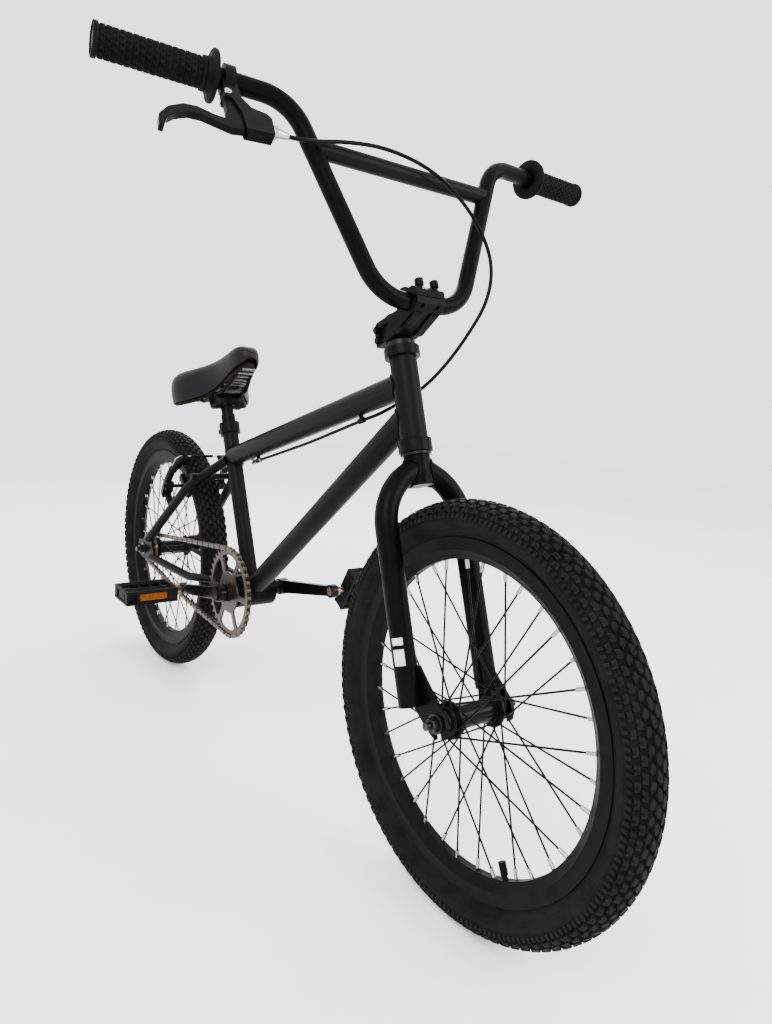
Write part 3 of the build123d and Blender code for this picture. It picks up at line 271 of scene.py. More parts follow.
class Builder:
    """Collects vertices and faces of several simple forms in one mesh."""

    def __init__(self):
        self.verts = []
        self.faces = []

    def add(self, verts, faces):
        base = len(self.verts)
        self.verts += [tuple(v) for v in verts]
        self.faces += [tuple(i + base for i in face) for face in faces]

    def box(self, low, high):
        x, y, z = zip(low, high)
        verts = [(x[i], y[j], z[k]) for i in (0, 1) for j in (0, 1) for k in (0, 1)]
        self.add(verts, [(0, 1, 3, 2), (4, 6, 7, 5), (0, 4, 5, 1), (2, 3, 7, 6), (0, 2, 6, 4),
                         (1, 5, 7, 3)])

    def tube(self, points, radii, sides=24, closed=False):
        """A round skin along points, capped at both ends unless closed."""
        points = [Vector(p) for p in points]
        count = len(points)
        frames = []
        normal = None
        for i in range(count):
            before = points[i - 1] if (i or closed) else points[i]
            after = points[(i + 1) % count] if (i < count - 1 or closed) else points[i]
            tangent = (after - before).normalized()
            if normal is None:
                normal = tangent.orthogonal().normalized()
            normal = (normal - tangent * normal.dot(tangent)).normalized()
            frames.append((normal.copy(), tangent.cross(normal)))
        verts = []
        for i, (u, v) in enumerate(frames):
            radius = radii[i] if hasattr(radii, "__len__") else radii
            for k in range(sides):
                a = 2 * math.pi * k / sides
                verts.append(points[i] + (u * math.cos(a) + v * math.sin(a)) * radius)
        faces = []
        for i in range(count if closed else count - 1):
            j = (i + 1) % count
            shift = 0
            if closed and j == 0:
                first = verts[0] - points[0]
                shift = min(range(sides),
                            key=lambda s: (verts[i * sides + s] - points[i] - first).length)
            for k in range(sides):
                m = (k + 1) % sides
                faces.append((i * sides + (k + shift) % sides, i * sides + (m + shift) % sides,
                              j * sides + m, j * sides + k))
        if not closed:
            faces.append(tuple(range(sides))[::-1])
            faces.append(tuple(range((count - 1) * sides, count * sides)))
        self.add(verts, faces)

    def rod(self, start, end, radius, sides=24):
        self.tube([start, end], radius, sides)

    def turned(self, profile, centre=(0, 0, 0), sides=96):
        """A closed (radius, y) outline turned about the Y axis."""
        count = len(profile)
        verts = []
        for k in range(sides):
            a = 2 * math.pi * k / sides
            for r, y in profile:
                verts.append((centre[0] + r * math.cos(a), centre[1] + y,
                              centre[2] + r * math.sin(a)))
        faces = []
        for k in range(sides):
            m = (k + 1) % sides
            for i in range(count):
                j = (i + 1) % count
                faces.append((k * count + i, m * count + i, m * count + j, k * count + j))
        self.add(verts, faces)

    def plate(self, outline, low, high):
        """An (x, z) outline with thickness along y."""
        count = len(outline)
        verts = [(x, low, z) for x, z in outline] + [(x, high, z) for x, z in outline]
        faces = [tuple(range(count)), tuple(range(2 * count - 1, count - 1, -1))]
        faces += [(i, (i + 1) % count, (i + 1) % count + count, i + count) for i in range(count)]
        self.add(verts, faces)

    def make(self, name, finish, body, **options):
        return piece(name, self.verts, self.faces, finish, body, **options)


def polar(radius, degrees):
    """(x, z) at an angle from the X axis."""
    return radius * math.cos(math.radians(degrees)), radius * math.sin(math.radians(degrees))


def interp(x, table):
    """Straight interpolation through (x, y) pairs in rising x."""
    for (x0, y0), (x1, y1) in zip(table, table[1:]):
        if x <= x1:
            t = min(1, max(0, (x - x0) / (x1 - x0)))
            return y0 + (y1 - y0) * t
    return table[-1][1]


def smooth_interp(x, table):
    """Cubic interpolation through (x, y) pairs in rising x."""
    n = len(table)
    i = 0
    while i < n - 2 and x > table[i + 1][0]:
        i += 1
    (x1, y1), (x2, y2) = table[i], table[i + 1]
    x0, y0 = table[max(i - 1, 0)]
    x3, y3 = table[min(i + 2, n - 1)]
    t = min(1, max(0, (x - x1) / (x2 - x1)))
    m1 = (y2 - y0) / (x2 - x0) * (x2 - x1)
    m2 = (y3 - y1) / (x3 - x1) * (x2 - x1)
    return ((2 * t ** 3 - 3 * t ** 2 + 1) * y1 + (t ** 3 - 2 * t ** 2 + t) * m1
            + (-2 * t ** 3 + 3 * t ** 2) * y2 + (t ** 3 - t ** 2) * m2)


# ---------------------------------------------------------------- cables
def route(points, order=3, resolution=24):
    """Points read off a smooth NURBS spline, in metres."""
    curve = bpy.data.curves.new("route", "CURVE")
    curve.dimensions = "3D"
    spline = curve.splines.new("NURBS")
    spline.points.add(len(points) - 1)
    for target, source in zip(spline.points, points):
        target.co = (*source, 1)
    spline.order_u = order
    spline.use_endpoint_u = True
    spline.resolution_u = resolution
    obj = bpy.data.objects.new("route", curve)
    bpy.context.scene.collection.objects.link(obj)
    mesh = bpy.data.meshes.new_from_object(obj)
    line = [v.co.copy() for v in mesh.vertices]
    bpy.data.objects.remove(obj)
    bpy.data.curves.remove(curve)
    bpy.data.meshes.remove(mesh)
    return line


# Control points of the cables, in metres.
FRONT_ROUTE = [
    (0.30691, -0.17995, 0.89783), (0.30946, -0.15747, 0.8977), (0.29748, -0.096, 0.91519),
    (0.29611, -0.036, 0.92212), (0.30451, 0.027, 0.91023), (0.31858, 0.07, 0.87913),
    (0.3353, 0.095, 0.84049), (0.35111, 0.103, 0.79835), (0.35433, 0.096, 0.75285),
    (0.34457, 0.075, 0.70811), (0.32877, 0.053, 0.66549), (0.30145, 0.036, 0.63156),
    (0.27111, 0.017, 0.60928), (0.252, 0.003, 0.59468), (0.2285, 0.0, 0.58768)]
REAR_ROUTE = [
    (0.228, 0.0, 0.58753), (0.16, -0.0006, 0.56575), (0.1, 0.0006, 0.54687),
    (0.04, -0.0005, 0.52898), (-0.022, 0.0, 0.51179), (-0.084, 0.0, 0.49451),
    (-0.112, 0.003, 0.488), (-0.14, 0.017, 0.482), (-0.172, 0.039, 0.48),
    (-0.21, 0.06, 0.478), (-0.254, 0.075, 0.476), (-0.30274, 0.08, 0.47475)]
HOUSING_R, HOUSING_SIDES = 2.5, 16


def cables():
    """Both cables' housings. The front one runs between the frame and the fork, on no body."""
    for name, node, points in (("front_brake_cable", "front_cable", FRONT_ROUTE),
                               ("rear_brake_cable", "rear_cable", REAR_ROUTE)):
        skin = Builder()
        skin.tube([p / MM for p in route(points)], HOUSING_R, HOUSING_SIDES)
        mesh = bpy.data.meshes.new(name)
        mesh.from_pydata([Vector(v) * MM for v in skin.verts], [], skin.faces)
        for polygon in mesh.polygons:
            polygon.use_smooth = True
        obj = bpy.data.objects.new(name, mesh)
        bpy.context.scene.collection.objects.link(obj)
        mesh.materials.append(FINISH["housing"])
        if node == "front_cable":
            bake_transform(obj)
        else:
            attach(obj, "frame")
        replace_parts(obj, node)


cables()


# ---------------------------------------------------------------- tyres
# Across the tyre, the tread follows an ellipse. Radii are from the axle, y is from the middle.
TREAD_CENTRE_R = 232
TREAD_RISE, TREAD_HALF_WIDTH = 21.0, 24.8
TREAD_EDGE, TREAD_STEP = 104, 8
TYRE_SIDES = 180
# Radii that turn millimetres across and round the tyre into angles.
ACROSS_R, AROUND_R = 23.5, 253.0
BEAD = [(226.2, 23.9), (221.5, 20.6), (217.6, 16.4), (217.0, 16.6), (216.0, 15.2), (212.8, 12.3),
        (206, 11.6)]
LINING = [(206, 9.2), (213, 9.4), (222, 17.8), (235, 20.6), (246, 14), (248, 0)]
SIDE_RINGS = [[(229.2, 24.2), (229.6, 24.95), (230.4, 25.0), (230.8, 24.4)],
              [(223.0, 21.0), (223.3, 22.3), (223.9, 22.5), (224.3, 21.9)]]
# Knob outlines: round the tyre and across it, from -1 to 1.
HEX = [(-1, -0.35), (-0.55, -1), (0.55, -1), (1, -0.35), (1, 0.35), (0.55, 1), (-0.55, 1),
       (-1, 0.35)]
SPEAR = [(-1, -0.5), (-0.1, -1), (0.7, -0.8), (1, 0), (0.6, 0.9), (-0.2, 1), (-1, 0.4), (-0.7, 0)]
COMB = [(-0.8, -1), (0.8, -1), (1, -0.6), (0.9, 0.8), (0.5, 1), (-0.5, 1), (-0.9, 0.8),
        (-1, -0.6)]
BLOCK = [(-1, -0.9), (-0.3, -1), (-0.1, -0.55), (0.2, -1), (1, -0.9), (0.9, 0.9), (0, 1),
         (-0.9, 0.9)]
# Each row: angle from the crown, half length round the tyre, half width across it, height,
# phase, skew, outline, number of knobs.
TREAD = [
    (8.0, 6.4, 3.0, 3.9, 0.0, 0.40, HEX, 96), (-8.0, 6.4, 3.0, 3.9, 0.5, -0.40, HEX, 96),
    (24.5, 5.8, 3.0, 3.8, 0.5, -0.35, SPEAR, 96), (-24.5, 5.8, 3.0, 3.8, 0.0, 0.35, SPEAR, 96),
    (41, 5.2, 2.9, 3.7, 0.0, 0.25, BLOCK, 96), (-41, 5.2, 2.9, 3.7, 0.5, -0.25, BLOCK, 96),
    (57, 4.9, 2.8, 3.6, 0.5, -0.2, BLOCK, 96), (-57, 4.9, 2.8, 3.6, 0.0, 0.2, BLOCK, 96),
    (75, 2.5, 3.4, 2.3, 0.25, 0.15, COMB, 192), (-75, 2.5, 3.4, 2.3, 0.25, -0.15, COMB, 192)]
# Sizes of a knob's outline at its sunk root, its shoulder and its top.
KNOB_ROOT, ROOT_SIZE = -0.8, 1.16
SHOULDER, SHOULDER_SIZE = 0.75, 0.97
TOP_SIZE = 0.84


def tread_point(phi, lift=0.0):
    """(radius, y) of the tread at an angle from its crown, lifted along its normal."""
    a = math.radians(phi)
    nr, ny = math.cos(a) / TREAD_RISE, math.sin(a) / TREAD_HALF_WIDTH
    length = math.hypot(nr, ny)
    nr, ny = nr / length, ny / length
    return (TREAD_CENTRE_R + TREAD_RISE * math.cos(a) + nr * lift,
            TREAD_HALF_WIDTH * math.sin(a) + ny * lift)


def knob(phi, length, width, height, skew, outline, around):
    """Vertices and faces of one tapered knob at an angle round the tyre."""
    verts = []
    for level, size in ((KNOB_ROOT, ROOT_SIZE), (height * SHOULDER, SHOULDER_SIZE),
                        (height, TOP_SIZE)):
        for u, v in outline:
            across = phi + math.degrees(v * width * size / ACROSS_R)
            r, y = tread_point(across, level)
            angle = around + (u * length * size + skew * v * width) / AROUND_R
            verts.append((r * math.cos(angle), y, r * math.sin(angle)))
    n = len(outline)
    faces = [(i + n * s, (i + 1) % n + n * s, (i + 1) % n + n * (s + 1), i + n * (s + 1))
             for s in (0, 1) for i in range(n)]
    faces += [tuple(range(2 * n, 3 * n)), tuple(range(n))[::-1]]
    return verts, faces


def tyre(name, node, centre, body):
    tread = [tread_point(phi) for phi in range(-TREAD_EDGE, TREAD_EDGE + 1, TREAD_STEP)]
    lining = LINING + [(r, -y) for r, y in LINING[-2::-1]]
    section = tread + BEAD + lining + [(r, -y) for r, y in BEAD[::-1]]
    form = Builder()
    form.turned(section, sides=TYRE_SIDES)
    for side in (1, -1):
        for ring in SIDE_RINGS:
            form.turned([(r, side * y) for r, y in ring], sides=TYRE_SIDES)
    for phi, length, width, height, phase, skew, outline, knobs in TREAD:
        for k in range(knobs):
            around = (k + phase) * 2 * math.pi / knobs
            form.add(*knob(phi, length, width, height, skew, outline, around))
    obj = form.make(name, "tyre", body, matrix=Matrix.Translation(centre), smooth=False)
    for polygon in obj.data.polygons[:TYRE_SIDES * len(section)]:
        polygon.use_smooth = True
    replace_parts(obj, node)


tyre("front_knobbly_tyre", "front_tyre", FRONT_AXLE, "front_wheel")
tyre("rear_knobbly_tyre", "rear_tyre", REAR_AXLE, "rear_wheel")


# ---------------------------------------------------------------- chain
CHAIN_Y = -45
RING_TEETH, COG_TEETH = 38, 16
RING_R, COG_R = 76.8957, 32.549
# Links on each straight run and round the cog, and the directions in which the runs leave.
RUN_LINKS, COG_LINKS = 31.108614, 7.430711
TOP_ANGLE, BOTTOM_ANGLE = -263.01901, -95.828023
CHAIN_LINKS = 90
CHAIN_SAG = 5.5
PLATE_R, PLATE_WAIST = 4.15, 2.5
INNER_PLATES, OUTER_PLATES = (1.75, 2.65), (2.85, 3.75)
ROLLER_R, ROLLER_HALF = 3.85, 1.7
PIN_R, PIN_HALF = 1.75, 4.2


def chain_points():
    """The pins' positions: along the top run, round the cog, back below, round the ring."""
    ring, cog = BB / MM, REAR_AXLE / MM
    points = []

    def at(centre, radius, angle):
        x, z = polar(radius, angle)
        return Vector((centre.x + x, CHAIN_Y, centre.z + z))

    for k in range(CHAIN_LINKS):
        u = k + 0.5
        if u < RUN_LINKS:
            start, end = at(ring, RING_R, TOP_ANGLE), at(cog, COG_R, TOP_ANGLE)
            points.append(start.lerp(end, u / RUN_LINKS))
        elif u < RUN_LINKS + COG_LINKS:
            angle = TOP_ANGLE + (u - RUN_LINKS) * 360 / COG_TEETH
            points.append(at(cog, COG_R, angle))
        elif u < 2 * RUN_LINKS + COG_LINKS:
            t = (u - RUN_LINKS - COG_LINKS) / RUN_LINKS
            p = at(cog, COG_R, BOTTOM_ANGLE).lerp(at(ring, RING_R, BOTTOM_ANGLE), t)
            p.z -= CHAIN_SAG * math.sin(math.pi * t) ** 1.5
            points.append(p)
        else:
            angle = BOTTOM_ANGLE + (u - 2 * RUN_LINKS - COG_LINKS) * 360 / RING_TEETH
            points.append(at(ring, RING_R, angle))
    return points


def link_outline(a, b):
    """A waisted side plate round two pins."""
    run = b - a
    length = math.hypot(run.x, run.z)
    ux, uz = run.x / length, run.z / length
    local = []
    for k in range(7):
        local.append(polar(PLATE_R, 78 + k * 34))
    local.append((length / 2, -PLATE_WAIST))
    for k in range(7):
        x, z = polar(PLATE_R, -102 + k * 34)
        local.append((length + x, z))
    local.append((length / 2, PLATE_WAIST))
    return [(a.x + x * ux - z * uz, a.z + x * uz + z * ux) for x, z in local]


def chain():
    points = chain_points()
    form = Builder()
    for k in range(CHAIN_LINKS):
        a, b = points[k], points[(k + 1) % CHAIN_LINKS]
        near, far = INNER_PLATES if k % 2 else OUTER_PLATES
        outline = link_outline(a, b)
        for side in (1, -1):
            low, high = sorted((CHAIN_Y + side * near, CHAIN_Y + side * far))
            form.plate(outline, low, high)
        for half, radius, sides in ((ROLLER_HALF, ROLLER_R, 14), (PIN_HALF, PIN_R, 10)):
            form.rod((a.x, CHAIN_Y - half, a.z), (a.x, CHAIN_Y + half, a.z), radius, sides)
    obj = form.make("roller_chain", "chain", "frame", smooth=False)
    soften(obj, 0.25, 1, 50, weld=False)
    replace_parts(obj, "chain")


chain()


# ---------------------------------------------------------------- grips
# (distance along the grip, radius): the flanged inner end, and the outer end from the tip.
FLANGE = [(0, 11.4), (0, 26.6), (0.8, 27.4), (2.6, 27.5), (4.2, 27.2), (5, 26), (5.4, 19.6),
          (6.6, 18.8), (9.0, 18.4), (9.6, 17.4), (10.4, 17.3), (11.0, 18.0), (14.0, 17.8),
          (14.8, 16.2)]
CAP = [(-5.6, 16.2), (-5.2, 17.4), (-1.2, 17.5), (-0.2, 16.6), (-0.1, 14.2), (-1.6, 13.8),
       (-1.7, 11.4)]
SLEEVE_START, SLEEVE_MARGIN = 15.2, 6
SLEEVE_R, BLOCK_HEIGHT = 14.9, 1.55
GRIP_SIDES, GRIP_STEPS = 176, 150
CELLS_AROUND, CELL_LENGTH = 15, 6.6
ARM_LENGTH, ARM_HALF_WIDTH, ARM_SLOPE = 0.40, 0.20, 0.07


def y_block(u, v):
    """Height, 0 to 1, of interlocking three-armed blocks; u and v in cells."""
    row = math.floor(v)
    u += 0.5 * (row % 2)
    x, y = u - math.floor(u) - 0.5, v - row - 0.5
    best = 1.0
    for angle in (90, 210, 330):
        dx, dy = polar(1, angle)
        along = max(0.0, min(ARM_LENGTH, x * dx + y * dy))
        best = min(best, math.hypot(x - along * dx, y - along * dy))
    return max(0.0, min(1.0, (ARM_HALF_WIDTH - best) / ARM_SLOPE))


def grip(name, side):
    inner = Vector((257.13, side * 247.5, 953.5))
    tip = Vector((239.69, side * 371.5, 958.66))
    axis = (tip - inner).normalized()
    u = axis.orthogonal().normalized()
    v = axis.cross(u)
    length = (tip - inner).length
    start, end = SLEEVE_START, length - SLEEVE_MARGIN
    stations = list(FLANGE)
    for i in range(GRIP_STEPS + 1):
        stations.append((start + (end - start) * i / GRIP_STEPS, None))
    stations += [(length + back, radius) for back, radius in CAP]
    verts, faces = [], []
    for distance, radius in stations:
        for k in range(GRIP_SIDES):
            a = 2 * math.pi * k / GRIP_SIDES
            r = radius
            if r is None:
                fade = min(1, (distance - start) / 2, (end - distance) / 2)
                block = y_block(k / GRIP_SIDES * CELLS_AROUND, distance / CELL_LENGTH)
                r = SLEEVE_R + BLOCK_HEIGHT * fade * block
            verts.append(inner + axis * distance + (u * math.cos(a) + v * math.sin(a)) * r)
    for i in range(len(stations) - 1):
        for k in range(GRIP_SIDES):
            m = (k + 1) % GRIP_SIDES
            low, high = i * GRIP_SIDES, (i + 1) * GRIP_SIDES
            faces.append((low + k, low + m, high + m, high + k))
    last = (len(stations) - 1) * GRIP_SIDES
    for k in range(GRIP_SIDES):
        m = (k + 1) % GRIP_SIDES
        faces.append((last + k, last + m, m, k))
    return piece(name, verts, faces, "grip_rubber", "fork")


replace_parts(grip("left_grip", 1), "grips")
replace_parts(grip("right_grip", -1), "grips")


# ---------------------------------------------------------------- saddle
# Along the saddle's own length: half width, crown height, lower edge, height of the underside.
PLAN = [(-110, 18), (-106, 40), (-98, 59), (-86, 70), (-70, 75), (-54, 74), (-38, 68), (-20, 57),
        (-4, 46), (14, 37), (34, 30.5), (60, 27), (84, 25.2), (100, 22.6), (109, 19),
        (115, 14.5), (119, 9.5), (121.5, 5)]
TOP = [(-110, 57), (-104, 65), (-92, 70.5), (-70, 73.5), (-30, 70.8), (10, 71.5), (62, 74.5),
       (86, 76.5), (100, 75.6), (110, 72), (117, 66.5), (121.5, 59)]
EDGE = [(-110, 24), (-104, 14), (-88, 9.5), (-62, 8.0), (-36, 7.0), (-6, 10), (20, 17),
        (52, 27.5), (85, 37), (110, 43), (120, 49)]
UNDERSIDE = [(20, 19.5), (60, 23), (98, 31), (114, 39)]
PAN_START, PAN_STEP, PAN_ROWS = -92, 5, 24
PAN_INSET, PAN_WALL, PAN_RISE, PAN_DROP = 7.5, 2.6, 7, 6.5
COVER_START, COVER_END = -109.5, 121.5
COVER_STATIONS, COVER_RING = 56, 40
# Shares of a cover half ring at which its floor, inner wall, lip and flank end.
FLOOR_END, WALL_END, LIP_END, FLANK_END = 0.12, 0.2, 0.3, 0.5
COVER_INSET, FLOOR_RISE, BELLY = 7.0, 11, 0.36
RIBS, RIB_START, RIB_STEP, RIB_HALF = 6, 40, 12.4, 2.6


def saddle_pan():
    """The hard pan's side walls, showing below the cover."""
    form = Builder()
    for side in (1, -1):
        verts = []
        for i in range(PAN_ROWS + 1):
            x = PAN_START + i * PAN_STEP
            outer = smooth_interp(x, PLAN) - PAN_INSET
            edge = smooth_interp(x, EDGE)
            low = edge - PAN_DROP * math.sin(math.pi * i / PAN_ROWS) ** 0.6
            high = edge + PAN_RISE
            verts += [(x, side * outer, high), (x, side * outer, low),
                      (x, side * (outer - PAN_WALL), low), (x, side * (outer - PAN_WALL), high)]
        faces = [(4 * i + k, 4 * i + (k + 1) % 4, 4 * i + 4 + (k + 1) % 4, 4 * i + 4 + k)
                 for i in range(PAN_ROWS) for k in range(4)]
        last = 4 * PAN_ROWS
        form.add(verts, faces + [(0, 1, 2, 3), (last + 3, last + 2, last + 1, last)])
    obj = form.make("saddle_pan", "saddle_shell", "saddle", matrix=SADDLE, smooth=False)
    soften(obj, 0.6, 2, 40, weld=False)


saddle_pan()


def cover_point(q, w, top, edge):
    """(y, z) on half a cross-section of the cover, from its floor's middle to its crown."""
    belly = edge + (top - edge) * BELLY
    if q < FLOOR_END:
        return (w - COVER_INSET) * q / FLOOR_END, edge + FLOOR_RISE
    if q < WALL_END:
        c = (q - FLOOR_END) / (WALL_END - FLOOR_END)
        return w - COVER_INSET + 1.0 * c, edge + FLOOR_RISE - 10.6 * c
    if q < LIP_END:
        a = (q - WALL_END) / (LIP_END - WALL_END) * math.pi
        return w - 3.9 - 2.1 * math.cos(a), edge + 0.4 - 1.2 * math.sin(a)
    if q < FLANK_END:
        c = (q - LIP_END) / (FLANK_END - LIP_END)
        return w - 1.8 + 1.8 * math.sin(c * math.pi / 2), edge + 0.4 + (belly - edge) * c
    a = (q - FLANK_END) / (1 - FLANK_END) * math.pi / 2
    return w * math.cos(a) ** 0.62, belly + (top - belly) * math.sin(a) ** 0.66


def saddle():
    verts, faces = [], []
    for i in range(COVER_STATIONS + 1):
        t = i / COVER_STATIONS
        x = COVER_START + (COVER_END - COVER_START) * (0.5 - 0.5 * math.cos(math.pi * t))
        w = max(2.0, smooth_interp(x, PLAN))
        top, edge = smooth_interp(x, TOP), smooth_interp(x, EDGE)
        for k in range(COVER_RING + 1):
            s = k / COVER_RING
            side = 1 if s < 0.5 else -1
            y, z = cover_point(s * 2 if s < 0.5 else (1 - s) * 2, w, top, edge)
            verts.append((x, side * max(0.0, y), z))
    n = COVER_RING + 1
    for i in range(COVER_STATIONS):
        for k in range(COVER_RING):
            faces.append((i * n + k, i * n + k + 1, (i + 1) * n + k + 1, (i + 1) * n + k))
    faces.append(tuple(range(n)))
    faces.append(tuple(range(COVER_STATIONS * n, COVER_STATIONS * n + n))[::-1])
    obj = piece("saddle_cushion", verts, faces, "saddle_cover", "saddle", matrix=SADDLE)
    clean = bmesh.new()
    clean.from_mesh(obj.data)
    bmesh.ops.remove_doubles(clean, verts=clean.verts, dist=SEAM_GAP)
    bmesh.ops.recalc_face_normals(clean, faces=clean.faces)
    clean.to_mesh(obj.data)
    clean.free()
    smooth = obj.modifiers.new("smooth", "SUBSURF")
    smooth.levels = smooth.render_levels = 1
    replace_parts(obj, "saddle")

    ribs = Builder()
    for k in range(RIBS):
        x = RIB_START + k * RIB_STEP
        half = smooth_interp(x, PLAN) - 10
        z = interp(x, UNDERSIDE) - 2.0
        ribs.box((x - RIB_HALF, -half, z), (x + RIB_HALF, half, z + 4))
    obj = ribs.make("saddle_ribs", RIB_PLASTIC, "saddle", slot="saddle_shell", matrix=SADDLE,
                    smooth=False)
    soften(obj, 0.8, 2, 40, weld=False)


saddle()


# ---------------------------------------------------------------- pedals
# Height ranges of the cage's rails, and of the teeth on them.
RAILS = ((8.3, 12.7), (-12.7, -8.3))
TEETH = ((12.5, 13.0), (-13.0, -12.5))
RAIL_HALF, SLAT_HALF = 47.5, 43
# Ranges of x outward from the middle, y and z: the cage's uprights at the front and the rear.
UPRIGHTS = [((30, 35.6), (-47.3, -43.5), (-8.3, 8.3)), ((28, 35.6), (-28.5, -24), (-8.3, 8.3)),
            ((28, 35.6), (28.5, 47.3), (-8.3, 8.3)), ((27, 30.5), (-24, 47.3), (-9, 9))]
WEB_PLACES, WEB_HALF = (-28, -8, 12, 32), 1.6
BARREL = [(4.7, -41), (9.5, -41), (10.5, -39), (9.6, -20), (9.0, 0), (9.6, 20), (10.5, 39),
          (9.5, 41), (4.7, 41)]
LENS_BACK, LENS_FRONT, PRISM_BASE, PRISM_TIP = 30.6, 32.6, 32.5, 33.8
PRISM_COLUMNS, PRISM_ROWS = 15, 4
PRISM_HALF_Y, PRISM_HALF_Z = 1.6, 1.5


def cage(form, sx):
    """The rails, teeth and uprights of the pedal's front (1) or rear (-1) half."""
    def bar(x, y, z):
        x0, x1 = sorted((sx * x[0], sx * x[1]))
        form.box((x0, y[0], z[0]), (x1, y[1], z[1]))

    for rail, tooth in zip(RAILS, TEETH):
        slat = (min(rail) + 0.6, max(rail) - 0.6)
        bar((30, 36), (-RAIL_HALF, RAIL_HALF), rail)
        bar((20, 22), (-SLAT_HALF, SLAT_HALF), slat)
        bar((24.5, 26.5), (-SLAT_HALF, SLAT_HALF), slat)
        for k in range(9):
            bar((31.5, 34.5), (-41.5 + k * 10, -38.5 + k * 10), tooth)
    for ranges in UPRIGHTS:
        bar(*ranges)
    for y in WEB_PLACES:
        bar((8, 28), (y - WEB_HALF, y + WEB_HALF), (-9, 9))
    bar((22, 30.5), (-47.3, -SLAT_HALF), (-8.3, 8.3))


def reflector(name, node, matrix, sx):
    """An amber lens with rows of small pyramids on its face."""
    lens = Builder()
    x0, x1 = sorted((sx * LENS_BACK, sx * LENS_FRONT))
    lens.box((x0, -23.4, -6.6), (x1, 28, 6.6))
    for i in range(PRISM_COLUMNS):
        for j in range(PRISM_ROWS):
            y, z = -21.4 + i * 3.36, -4.8 + j * 3.2
            base = [(sx * PRISM_BASE, y + dy * PRISM_HALF_Y, z + dz * PRISM_HALF_Z)
                    for dy, dz in ((-1, -1), (1, -1), (1, 1), (-1, 1))]
            lens.add(base + [(sx * PRISM_TIP, y, z)],
                     [(0, 1, 4), (1, 2, 4), (2, 3, 4), (3, 0, 4), (3, 2, 1, 0)])
    return lens.make(f"{name}_reflector_{'rear' if sx < 0 else 'front'}", AMBER, node,
                     slot="pedal", matrix=matrix, smooth=False)


def pedal(name, node, matrix):
    form = Builder()
    for sx in (-1, 1):
        cage(form, sx)
    for z in RAILS:
        form.box((-30, -RAIL_HALF, z[0]), (30, -SLAT_HALF, z[1]))
    form.box((-30, SLAT_HALF, -12.4), (30, RAIL_HALF, 12.4))
    form.box((-14, -46, -8.5), (14, -42.5, 8.5))
    form.box((-29, -40, -8), (29, -30, 8))
    obj = form.make(name, "pedal", node, matrix=matrix, smooth=False)
    soften(obj, 0.9, 2, 40, weld=False)
    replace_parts(obj, node)
    barrel = Builder()
    barrel.turned(BARREL, sides=40)
    core = barrel.make(name + "_barrel", "pedal", node, matrix=matrix)
    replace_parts(core, node)
    for sx in (-1, 1):
        glass = reflector(name, node, matrix, sx)
        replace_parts(glass, node)


pedal("right_platform", "right_pedal", Matrix.Translation((-0.258507, -0.132, 0.226709)))
pedal("left_platform", "left_pedal", Matrix.Translation((0.0785874, 0.132, 0.295291))
      @ Matrix.Rotation(math.radians(-60), 4, "Y") @ Matrix.Rotation(math.pi, 4, "Z"))


# ---------------------------------------------------------------- brake trim
# The brake lever's own frame, given in the steering frame: along it, towards the bar, across.
LEVER_ALONG = Vector((0.117787, 0.989411, -0.084807))
LEVER_TOWARDS = Vector((0.297273, -0.116616, -0.947644))
LEVER_ACROSS = Vector((-0.947499, 0.086409, -0.307861))
LEVER_PLACE = Vector((259.17, -233, 952.9))
WIRE_X, WIRE_Z, WIRE_R = -329.084, 474.706, 0.8
BOOT_START, BOOT_END, BOOT_STEPS = 21.0, -23.0, 44
BOOT_R, BOOT_RIDGE, BOOT_TAPER, BOOT_RIDGES = 3.0, 0.55, 0.8, 11


def lever_point(x, y, z):
    """World position, in millimetres, of a point in the brake lever's own frame."""
    offset = LEVER_ALONG * x + LEVER_TOWARDS * y + LEVER_ACROSS * z
    return LEVER_PLACE + STEER.to_3x3() @ offset


def clamp_screw():
    """The small bright screw across the gap of the lever's clamp."""
    form = Builder()
    for heights, radii in (((-6.2, -5.6, 5.6, 6.2), [2.0, 2.7, 2.7, 2.0]),
                           ((5.8, 8.4, 9.0), [3.3, 3.3, 2.6])):
        form.tube([lever_point(-1, -18.2, z) for z in heights], radii, 20)
    form.make("clamp_screw", "bright_steel", "fork")


clamp_screw()


def brake_cable_end():
    """The bare wire between the arms with its tail past the anchor bolt, and the ribbed boot."""
    wire = Builder()
    offsets = [(0, 31, 0), (0, 0, 0), (0, -46, 0), (-2, -54, -5), (-8, -58, -20)]
    wire.tube([(WIRE_X + dx, y, WIRE_Z + dz) for dx, y, dz in offsets], WIRE_R, 10)
    obj = wire.make("inner_wire", "wire", "right_brake_arm")
    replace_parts(obj, "brake_wire")
    boot = Builder()
    points, radii = [], []
    for i in range(BOOT_STEPS + 1):
        t = i / BOOT_STEPS
        points.append((WIRE_X, BOOT_START + (BOOT_END - BOOT_START) * t, WIRE_Z))
        ridge = BOOT_RIDGE * math.cos(t * math.pi * 2 * BOOT_RIDGES)
        radii.append(BOOT_R + ridge - BOOT_TAPER * t)
    boot.tube(points, radii, 20)
    obj = boot.make("wire_boot", "inner_tube", "right_brake_arm", slot="wire")
    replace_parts(obj, "brake_wire")


brake_cable_end()


